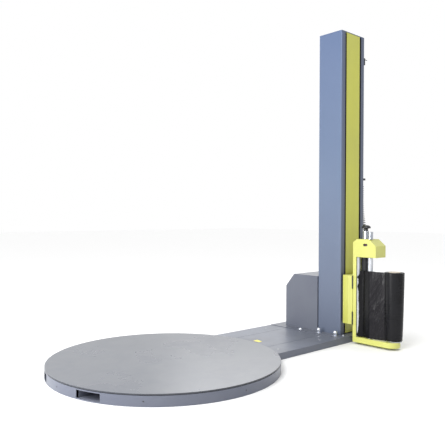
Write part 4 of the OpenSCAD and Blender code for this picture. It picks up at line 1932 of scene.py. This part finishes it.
@dataclass
class FilmCarriage:
    """The yellow bracket that holds the film: platform, head, rollers and brake."""

    tray: float = 0.058
    head_top: float = 0.815
    cap_height: float = 0.062
    lens_at: Point = (1.5048, -0.514, 0.772)
    leaf_middle: float = -0.4208

    def build(self) -> None:
        """Dresses the carriage and fits its small parts."""
        for node in ("carriage_back", "carriage_head", "carriage_platform"):
            dress(node, LIME)
        dress("hinge_swing_leaves", LIME_HINGE)
        dress("photocell", BLACK_PLASTIC)
        dress("roller_axles", GROUND_STEEL)
        dress("brake_housing", CHROME)
        dress("entry_roller", ROLLER_ALUMINIUM)
        dress("exit_roller", ROLLER_ALUMINIUM)
        dress("brake_roller", ROLLER_RUBBER)
        dress("spindle", GROUND_STEEL)
        screws = hinge_screws("hinge_screws_swing", self.leaf_middle)
        fit(screws, LIME, "carriage")
        self._washers()
        self._lens()
        self._housing_rings()
        self._knob()

    def _washers(self) -> None:
        """Turns the nylon washers that the three rollers stand on."""
        rings = []
        for x, y in (EXIT_AT, BRAKE_AT, ENTRY_AT):
            rings.append(
                turned(
                    "roller_washers",
                    [
                        (0.0065, 0.0),
                        (0.0130, 0.0),
                        (0.0136, 0.0008),
                        (0.0130, 0.0034),
                        (0.0065, 0.0037),
                        (0.0065, 0.0),
                    ],
                    (x, y, self.tray),
                    steps=28,
                )
            )
        fit(joined("roller_washers", rings), NYLON, "carriage")

    def _lens(self) -> None:
        """Sets the photocell's lens in its window."""
        lens = turned(
            "photocell_lens",
            [
                (0.0, 0.0),
                (0.0075, 0.0),
                (0.0075, -0.0010),
                (0.0058, -0.0014),
                (0.0052, -0.0008),
                (0.0030, -0.0014),
                (0.0, -0.0017),
            ],
            self.lens_at,
            Axis.X,
            steps=28,
        )
        fit(lens, LENS_RED, "carriage")

    def _housing_rings(self) -> None:
        """Turns the clamping rings of the two housings on the head."""
        rings = []
        for (x, y), radius, heights in (
            (BRAKE_AT, 0.0221, (0.016, 0.050)),
            (EXIT_AT, 0.0181, (0.006, 0.047)),
        ):
            for height in heights:
                rings.append(
                    turned(
                        "housing_rings",
                        [
                            (radius - 0.0006, 0.0),
                            (radius + 0.0010, 0.0),
                            (radius + 0.0015, 0.0006),
                            (radius + 0.0015, 0.0034),
                            (radius + 0.0010, 0.0040),
                            (radius - 0.0006, 0.0040),
                            (radius - 0.0006, 0.0),
                        ],
                        (x, y, self.head_top + height),
                        steps=48,
                    )
                )
        fit(joined("housing_rings", rings), CHROME, "carriage")

    def _knob(self) -> None:
        """Turns the tension knob and pulls finger grips into its rim."""
        base = self.head_top + self.cap_height + 0.0003
        profile = [
            (0.0, -0.030),
            (0.0050, -0.030),
            (0.0050, 0.0),
            (0.0148, 0.0),
            (0.0155, 0.0010),
            (0.0152, 0.0060),
            (0.0142, 0.0120),
            (0.0160, 0.0180),
            (0.0200, 0.0215),
            (0.0260, 0.0208),
            (0.0310, 0.0200),
            (0.0334, 0.0218),
            (0.0342, 0.0250),
            (0.0336, 0.0295),
            (0.0318, 0.0340),
            (0.0275, 0.0385),
            (0.0210, 0.0425),
            (0.0150, 0.0448),
            (0.0090, 0.0452),
            (0.0080, 0.0440),
            (0.0, 0.0438),
        ]
        x, y = BRAKE_AT
        knob = turned("tension_knob_grip", profile, (x, y, base), steps=72)
        bpy.context.view_layer.objects.active = knob
        bpy.ops.object.mode_set(mode="EDIT")
        for lobe in range(6):
            turn = math.radians(60 * lobe + 30)
            side = Vector((math.cos(turn), math.sin(turn), 0.0))
            middle = Vector((x, y, 0.0))

            def in_grip(vertex: Any) -> bool:
                """Says whether a rim vertex lies in this finger grip."""
                out = Vector((vertex.co.x, vertex.co.y, 0.0)) - middle
                return out.length > 0.030 and out.normalized().dot(side) > 0.978

            pick("verts", in_grip)
            bpy.ops.transform.translate(value=-side * 0.0022)
        finish_piece("tension_knob_grip", flat_above=50)
        fit(knob, BLACK_PLASTIC, "tension_knob", ["tension_knob"])


@dataclass
class FilmStock:
    """The roll of stretch film, its core and the film drawn off it."""

    axis: Spot = (1.580, -0.716)
    low: float = 0.0680
    width: float = 0.5055
    hem: float = 0.0630
    leaving: Spot = (-0.788, 0.616)
    rags: tuple[tuple[float, float, float], ...] = (
        (0.573, -0.045, 0.030),
        (0.522, 0.040, 0.012),
        (0.452, 0.032, 0.020),
        (0.260, -0.018, 0.080),
        (0.085, 0.050, 0.022),
    )
    top: float = 0.5735
    core_radius: float = 0.0431
    top_radius: float = 0.0728
    bottom_radius: float = 0.0600
    small_radius: float = 0.019
    brake_radius: float = 0.035
    skin: float = 0.0014
    film_thickness: float = 0.0003
    columns: int = 96
    rows: int = 150
    end_round: float = 0.0012
    fold_lean: float = 122.0
    torn_share: float = 0.945
    flat_size: Spot = (0.245, 0.505)

    def build(self) -> None:
        """Winds the roll, dresses the core and hangs the film."""
        core = SpiralCard(
            "Wound card",
            tone(222, 213, 200),
            tone(210, 200, 184),
            roughness=0.78,
            patch_scale=20.0,
            worn_colour=tone(222, 214, 200),
            worn_amount=0.4,
            worn_scale=30.0,
            grain_scale=900.0,
            grain_depth=0.0001,
            centre=(*self.axis, 0.0),
        )
        dress("film_core", core)
        self._roll()
        self._film()

    def radius_at(self, height: float) -> float:
        """Gives the roll's radius at a height; it is wound tighter lower down."""
        down = min(max((self.low + self.width - height) / self.width, 0.0), 1.0)
        return self.top_radius + (self.bottom_radius - self.top_radius) * down**1.6

    def _roll(self) -> None:
        """Winds the roll with its layered ends and uneven side."""
        levels, rings = 56, 12
        profile = []
        for i in range(rings + 1):
            share = i / rings
            radius = self.core_radius + (
                self.bottom_radius - self.end_round - self.core_radius
            ) * share
            profile.append((radius, 0.0004 * (i % 2)))
        for i in range(levels + 1):
            share = i / levels
            height = self.end_round + (self.width - 2 * self.end_round) * share
            uneven = 0.00022 * noise.noise(Vector((share * 31.0, 0.4, 0.0)))
            profile.append((self.radius_at(self.low + height) + uneven, height))
        for i in range(rings + 1):
            share = 1 - i / rings
            radius = self.core_radius + (
                self.top_radius - self.end_round - self.core_radius
            ) * share
            dip = 0.0007 * noise.noise(Vector((share * 9.0, 2.2, 0.0)))
            profile.append((radius, self.width - 0.0006 * (i % 2) - abs(dip)))
        profile.append(profile[0])
        roll = turned(
            "film_roll_wound", profile, (*self.axis, self.low), steps=120
        )
        fit(roll, FILM_WINDING, "film", ["film_roll"])

    def _line_at(self, height: float) -> list[Vector]:
        """Gives the film's way over the rollers at one height, seen from above.

        Args:
            height: Height above the floor.

        Returns:
            Evenly spaced points from the roll to the entry roller.
        """
        away = self.skin
        corners = [
            Vector(self.axis) + Vector(self.leaving) * (self.radius_at(height) - 0.0004),
            Vector((EXIT_AT[0] - self.small_radius - away, EXIT_AT[1])),
            Vector((BRAKE_AT[0] - self.brake_radius - away, BRAKE_AT[1])),
            Vector((ENTRY_AT[0] - self.small_radius - 0.0022, ENTRY_AT[1] - 0.004)),
        ]
        lengths = [(b - a).length for a, b in zip(corners, corners[1:])]
        total = sum(lengths)
        samples = []
        for i in range(self.columns + 1):
            at = total * i / self.columns
            for a, b, length in zip(corners, corners[1:], lengths):
                if at <= length + 1e-9:
                    samples.append(a.lerp(b, at / length))
                    break
                at -= length
        reach = 2
        return [
            sum(
                (samples[min(max(i + k, 0), self.columns)] for k in range(-reach, reach + 1)),
                Vector((0.0, 0.0)),
            )
            / (2 * reach + 1)
            if reach <= i <= self.columns - reach
            else samples[i]
            for i in range(self.columns + 1)
        ]

    def _torn(self, height: float) -> float:
        """Gives the share of the film's way that is left at a height.

        Args:
            height: Height above the floor.

        Returns:
            The share, 1 where the film reaches the end of its way.
        """
        rags = sum(
            size * math.exp(-(((height - place) / spread) ** 2))
            for place, size, spread in self.rags
        )
        rough = 0.012 * noise.noise(Vector((height * 34.0, 7.7, 0.0)))
        fine = 0.016 * noise.noise(Vector((height * 110.0, 3.1, 0.0)))
        return self.torn_share + rags + rough + fine

    def _fold(self, along: float, height: float) -> float:
        """Gives how far the film stands out of its way at a place.

        Args:
            along: Share of the way from the roll to the torn edge.
            height: Height above the floor.

        Returns:
            The distance, away from the rollers.
        """
        slack = math.sin(math.pi * min(along / 0.56, 1.0))
        middle = math.exp(-(((height - 0.270) / 0.170) ** 2))
        across, up = along * 0.31, height
        lean = math.radians(self.fold_lean)
        u = across * math.cos(lean) + up * math.sin(lean)
        v = -across * math.sin(lean) + up * math.cos(lean)
        big = 1 - abs(noise.noise(Vector((u * 8.0, v * 32.0, 0.3)))) * 2.4
        small = 1 - abs(noise.noise(Vector((u * 30.0, v * 120.0, 5.3)))) * 2.0
        ripple = noise.noise(Vector((across * 60.0, up * 9.0, 9.1)))
        folds = slack * (
            (0.0062 * big + 0.0022 * small) * (0.4 + 0.6 * middle) + 0.0010 * ripple
        )
        loose = smooth((along - 0.84) / 0.16)
        flutter = 0.5 + 0.5 * noise.noise(Vector((along * 14.0, up * 26.0, 1.7)))
        cling = 0.0006 * abs(noise.noise(Vector((along * 70.0, up * 12.0, 2.9))))
        return folds + loose * 0.0075 * flutter + cling

    def _film(self) -> None:
        """Hangs the film from the roll over the rollers to its torn edge."""
        points, faces = [], []
        for row in range(self.rows + 1):
            share = row / self.rows
            line = self._line_at(self.low + self.width * share)
            left = self._torn(self.low + self.width * share)
            for column in range(self.columns + 1):
                along = column / self.columns
                tail = smooth((along - 0.7) / 0.3)
                at = along * (1 - tail * (1 - left))
                place = min(at * self.columns, self.columns - 1e-6)
                index = int(place)
                spot = line[index].lerp(line[index + 1], place - index)
                way = (line[index + 1] - line[index]).normalized()
                out = Vector((-way.y, way.x))
                edge = 0.002 * noise.noise(Vector((along * 11.0, 4.4, 0.0)))
                height = self.hem + (self.top - self.hem + edge) * share
                reach = self._fold(at, height)
                points.append(
                    (spot.x + out.x * reach, spot.y + out.y * reach, height)
                )
        wide = self.columns + 1
        for row in range(self.rows):
            for column in range(self.columns):
                a = row * wide + column
                faces.append((a, a + wide, a + wide + 1, a + 1))
        film = mesh_piece("film_web_drawn", points, faces)
        thickness = film.modifiers.new("thickness", "SOLIDIFY")
        thickness.thickness, thickness.offset = self.film_thickness, 0.0
        bpy.ops.object.modifier_apply(modifier="thickness")
        fit(film, STRETCH_FILM, "carriage", ["film_web"])


@dataclass
class Cabinet:
    """The control cabinet beside the mast, with its door at the back."""

    door_face: float = 1.848
    door_low: float = 0.052
    left: float = -0.070
    right: float = 0.268
    switch_at: Spot = (0.178, 0.330)
    louvre_inset: float = 0.045
    louvre_length: float = 0.130
    louvre_step: float = 0.018
    louvre_count: int = 8
    lock_low: float = 0.130
    lock_step: float = 0.250
    hinge_lows: tuple[float, ...] = (0.090, 0.330)

    def build(self) -> None:
        """Dresses the cabinet and fits the door's hardware."""
        dress("cabinet_shell", FRAME_BLUE)
        dress("cabinet_door", FRAME_BLUE)
        dress("mains_gland", BLACK_PLASTIC)
        self._louvres()
        self._locks()
        self._hinges()
        self._switch()

    def _louvres(self) -> None:
        """Presses one slanted louvre and sets a block of them low on the door."""
        x, long = self.door_face, self.louvre_length
        y, z = self.left + self.louvre_inset, self.door_low + self.louvre_inset
        open_cuboid((x + 0.0025, y + long / 2, z), (0.005, long, 0.010))
        pick("verts", lambda v: v.co.x > x + 0.004 and v.co.z > z)
        bpy.ops.transform.translate(value=(-0.0044, 0, 0))
        pick("edges", lambda e: e.verts[0].co.x + e.verts[1].co.x > 2 * x + 0.0005)
        bpy.ops.mesh.bevel(offset=0.0012, segments=2, affect="EDGES")
        rises = [self.louvre_step * i for i in range(1, self.louvre_count)]
        louvres = repeated(finish_piece("door_louvres"), [(0, 0, z) for z in rises])
        fit(louvres, FRAME_BLUE, "root")

    def _locks(self) -> None:
        """Turns the two quarter-turn locks of the door."""
        first = turned(
            "door_locks",
            [
                (0.0, 0.0),
                (0.0140, 0.0),
                (0.0140, 0.0020),
                (0.0120, 0.0036),
                (0.0080, 0.0040),
                (0.0074, 0.0016),
                (0.0034, 0.0016),
                (0.0030, 0.0036),
                (0.0, 0.0036),
            ],
            (self.door_face, self.left + 0.022, self.lock_low),
            Axis.X,
            steps=32,
        )
        locks = repeated(first, [(0, 0, self.lock_step)])
        fit(locks, ZINC, "root")

    def _hinges(self) -> None:
        """Turns the pin hinges on the door's far edge."""
        y = self.right - 0.0065
        barrels = []
        for z in self.hinge_lows:
            barrels.append(
                turned(
                    "door_hinges",
                    [
                        (0.0, 0.0),
                        (0.0050, 0.0),
                        (0.0060, 0.0010),
                        (0.0060, 0.0245),
                        (0.0054, 0.0250),
                        (0.0060, 0.0255),
                        (0.0060, 0.0490),
                        (0.0050, 0.0500),
                        (0.0, 0.0500),
                    ],
                    (self.door_face + 0.0055, y, z),
                    steps=24,
                )
            )
            barrels.append(
                block(
                    "door_hinge_leaf",
                    (self.door_face, y - 0.026, z + 0.001),
                    (self.door_face + 0.0018, y, z + 0.024),
                    round_edge=0.0005,
                )
            )
        fit(joined("door_hinges", barrels), BLACK_STEEL, "root")

    def _switch(self) -> None:
        """Makes the main switch and the ring that it turns in."""
        y, z = self.switch_at
        x = self.door_face
        ring = turned(
            "switch_ring",
            [
                (0.0250, 0.0),
                (0.0300, 0.0),
                (0.0300, 0.0008),
                (0.0290, 0.0014),
                (0.0250, 0.0014),
                (0.0250, 0.0),
            ],
            (x + 0.003, y, z),
            Axis.X,
            steps=48,
        )
        fit(ring, YELLOW_MARK, "root")
        dial = turned(
            "main_switch_handle",
            [
                (0.0, -0.012),
                (0.0050, -0.012),
                (0.0050, 0.0033),
                (0.0234, 0.0033),
                (0.0240, 0.0040),
                (0.0240, 0.0095),
                (0.0226, 0.0113),
                (0.0, 0.0113),
            ],
            (x, y, z),
            Axis.X,
            steps=48,
        )
        grip = block(
            "switch_grip",
            (x + 0.0105, y - 0.006, z - 0.022),
            (x + 0.0270, y + 0.006, z + 0.022),
            round_edge=0.0030,
            segments=4,
        )
        handle = joined("main_switch_handle", [dial, grip])
        fit(handle, RED_PLASTIC, "main_switch", ["main_switch"])


@dataclass
class OperatorBox:
    """The control box on the mast's back, with its three buttons."""

    face: float = 1.880
    middle: float = -0.162
    half_width: float = 0.066
    low: float = 1.0845
    high: float = 1.3755
    start_height: float = 1.310
    stop_height: float = 1.250
    emergency_height: float = 1.155

    def build(self) -> None:
        """Dresses the box and fits its plate, rings and buttons."""
        dress("control_box", FRAME_BLUE)
        self._plate()
        self._rings()
        self._buttons()
        self._emergency_button()

    def _plate(self) -> None:
        """Lays the bright plate on the lid, with a hole for each button."""
        open_cuboid(
            (self.face + 0.0004, self.middle, (self.low + self.high) / 2),
            (0.0008, 2 * self.half_width, self.high - self.low),
        )
        pick("edges", lambda e: abs(e.verts[0].co.x - e.verts[1].co.x) > 0.0005)
        bpy.ops.mesh.bevel(offset=0.006, segments=4, affect="EDGES")
        plate = finish_piece("button_plate")
        for height in (self.start_height, self.stop_height, self.emergency_height):
            start_piece()
            bpy.ops.mesh.primitive_cylinder_add(
                vertices=48,
                radius=0.0115,
                depth=0.02,
                location=(self.face, self.middle, height),
                rotation=(0, math.radians(90), 0),
            )
            tool = bpy.context.object
            cut = plate.modifiers.new("hole", "BOOLEAN")
            cut.object, cut.operation, cut.solver = tool, "DIFFERENCE", "EXACT"
            bpy.context.view_layer.objects.active = plate
            bpy.ops.object.modifier_apply(modifier="hole")
            bpy.data.objects.remove(tool)
        fit(plate, BUTTON_PLATE, "root")
        corners = [
            (self.middle + side * (self.half_width - 0.009), height)
            for side in (-1, 1)
            for height in (self.low + 0.009, self.high - 0.009)
        ]
        first = turned(
            "plate_screws",
            [
                (0.0, 0.0),
                (0.0042, 0.0),
                (0.0040, 0.0010),
                (0.0028, 0.0020),
                (0.0014, 0.0022),
                (0.0012, 0.0010),
                (0.0, 0.0010),
            ],
            (self.face + 0.0008, *corners[0]),
            Axis.X,
            steps=20,
        )
        shifts = [(0, y - corners[0][0], z - corners[0][1]) for y, z in corners[1:]]
        fit(repeated(first, shifts), ZINC, "root")

    def _rings(self) -> None:
        """Turns the bright rings round the buttons and the yellow one below."""
        rings = [
            turned(
                "button_rings",
                [
                    (0.0114, 0.0),
                    (0.0150, 0.0),
                    (0.0150, 0.0014),
                    (0.0138, 0.0030),
                    (0.0118, 0.0030),
                    (0.0114, 0.0024),
                    (0.0114, 0.0),
                ],
                (self.face + 0.0008, self.middle, height),
                Axis.X,
                steps=40,
            )
            for height in (self.start_height, self.stop_height)
        ]
        fit(joined("button_rings", rings), CHROME, "root")
        collar = turned(
            "emergency_collar",
            [
                (0.0118, 0.0),
                (0.0300, 0.0),
                (0.0300, 0.0010),
                (0.0290, 0.0018),
                (0.0150, 0.0018),
                (0.0140, 0.0042),
                (0.0118, 0.0042),
                (0.0118, 0.0),
            ],
            (self.face + 0.0008, self.middle, self.emergency_height),
            Axis.X,
            steps=48,
        )
        fit(collar, YELLOW_MARK, "root")

    def _buttons(self) -> None:
        """Turns the start and stop buttons with their dished faces."""
        for name, height, finish, slot in (
            ("start_button", self.start_height, GREEN_PLASTIC, "green_plastic"),
            ("stop_button", self.stop_height, BLACK_PLASTIC, "black_plastic"),
        ):
            cap = turned(
                f"{name}_cap",
                [
                    (0.0, -0.024),
                    (0.0110, -0.024),
                    (0.0110, 0.0056),
                    (0.0104, 0.0068),
                    (0.0094, 0.0074),
                    (0.0070, 0.0070),
                    (0.0035, 0.0064),
                    (0.0, 0.0062),
                ],
                (self.face, self.middle, height),
                Axis.X,
                steps=40,
            )
            fit(cap, finish, name, [name])

    def _emergency_button(self) -> None:
        """Turns the emergency button's mushroom."""
        mushroom = turned(
            "emergency_stop_mushroom",
            [
                (0.0, -0.030),
                (0.0110, -0.030),
                (0.0110, 0.0115),
                (0.0170, 0.0120),
                (0.0192, 0.0128),
                (0.0200, 0.0145),
                (0.0200, 0.0172),
                (0.0192, 0.0192),
                (0.0165, 0.0215),
                (0.0120, 0.0232),
                (0.0060, 0.0239),
                (0.0, 0.0240),
            ],
            (self.face, self.middle, self.emergency_height),
            Axis.X,
            steps=56,
        )
        fit(
            mushroom,
            RED_PLASTIC,
            "emergency_stop",
            ["emergency_stop"],
        )


def main() -> None:
    """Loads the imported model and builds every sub-assembly's looks round it."""
    logging.basicConfig(level=logging.INFO, format="%(name)s: %(message)s")
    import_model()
    for part in (
        Studio(),
        CurlyCable(),
        TurntableSet(),
        BaseAndNeck(),
        Mast(),
        Trolley(),
        FilmCarriage(),
        FilmStock(),
        Cabinet(),
        OperatorBox(),
    ):
        part.build()
        LOG.info("finished %s", type(part).__name__)


if __name__ == "__main__":
    main()
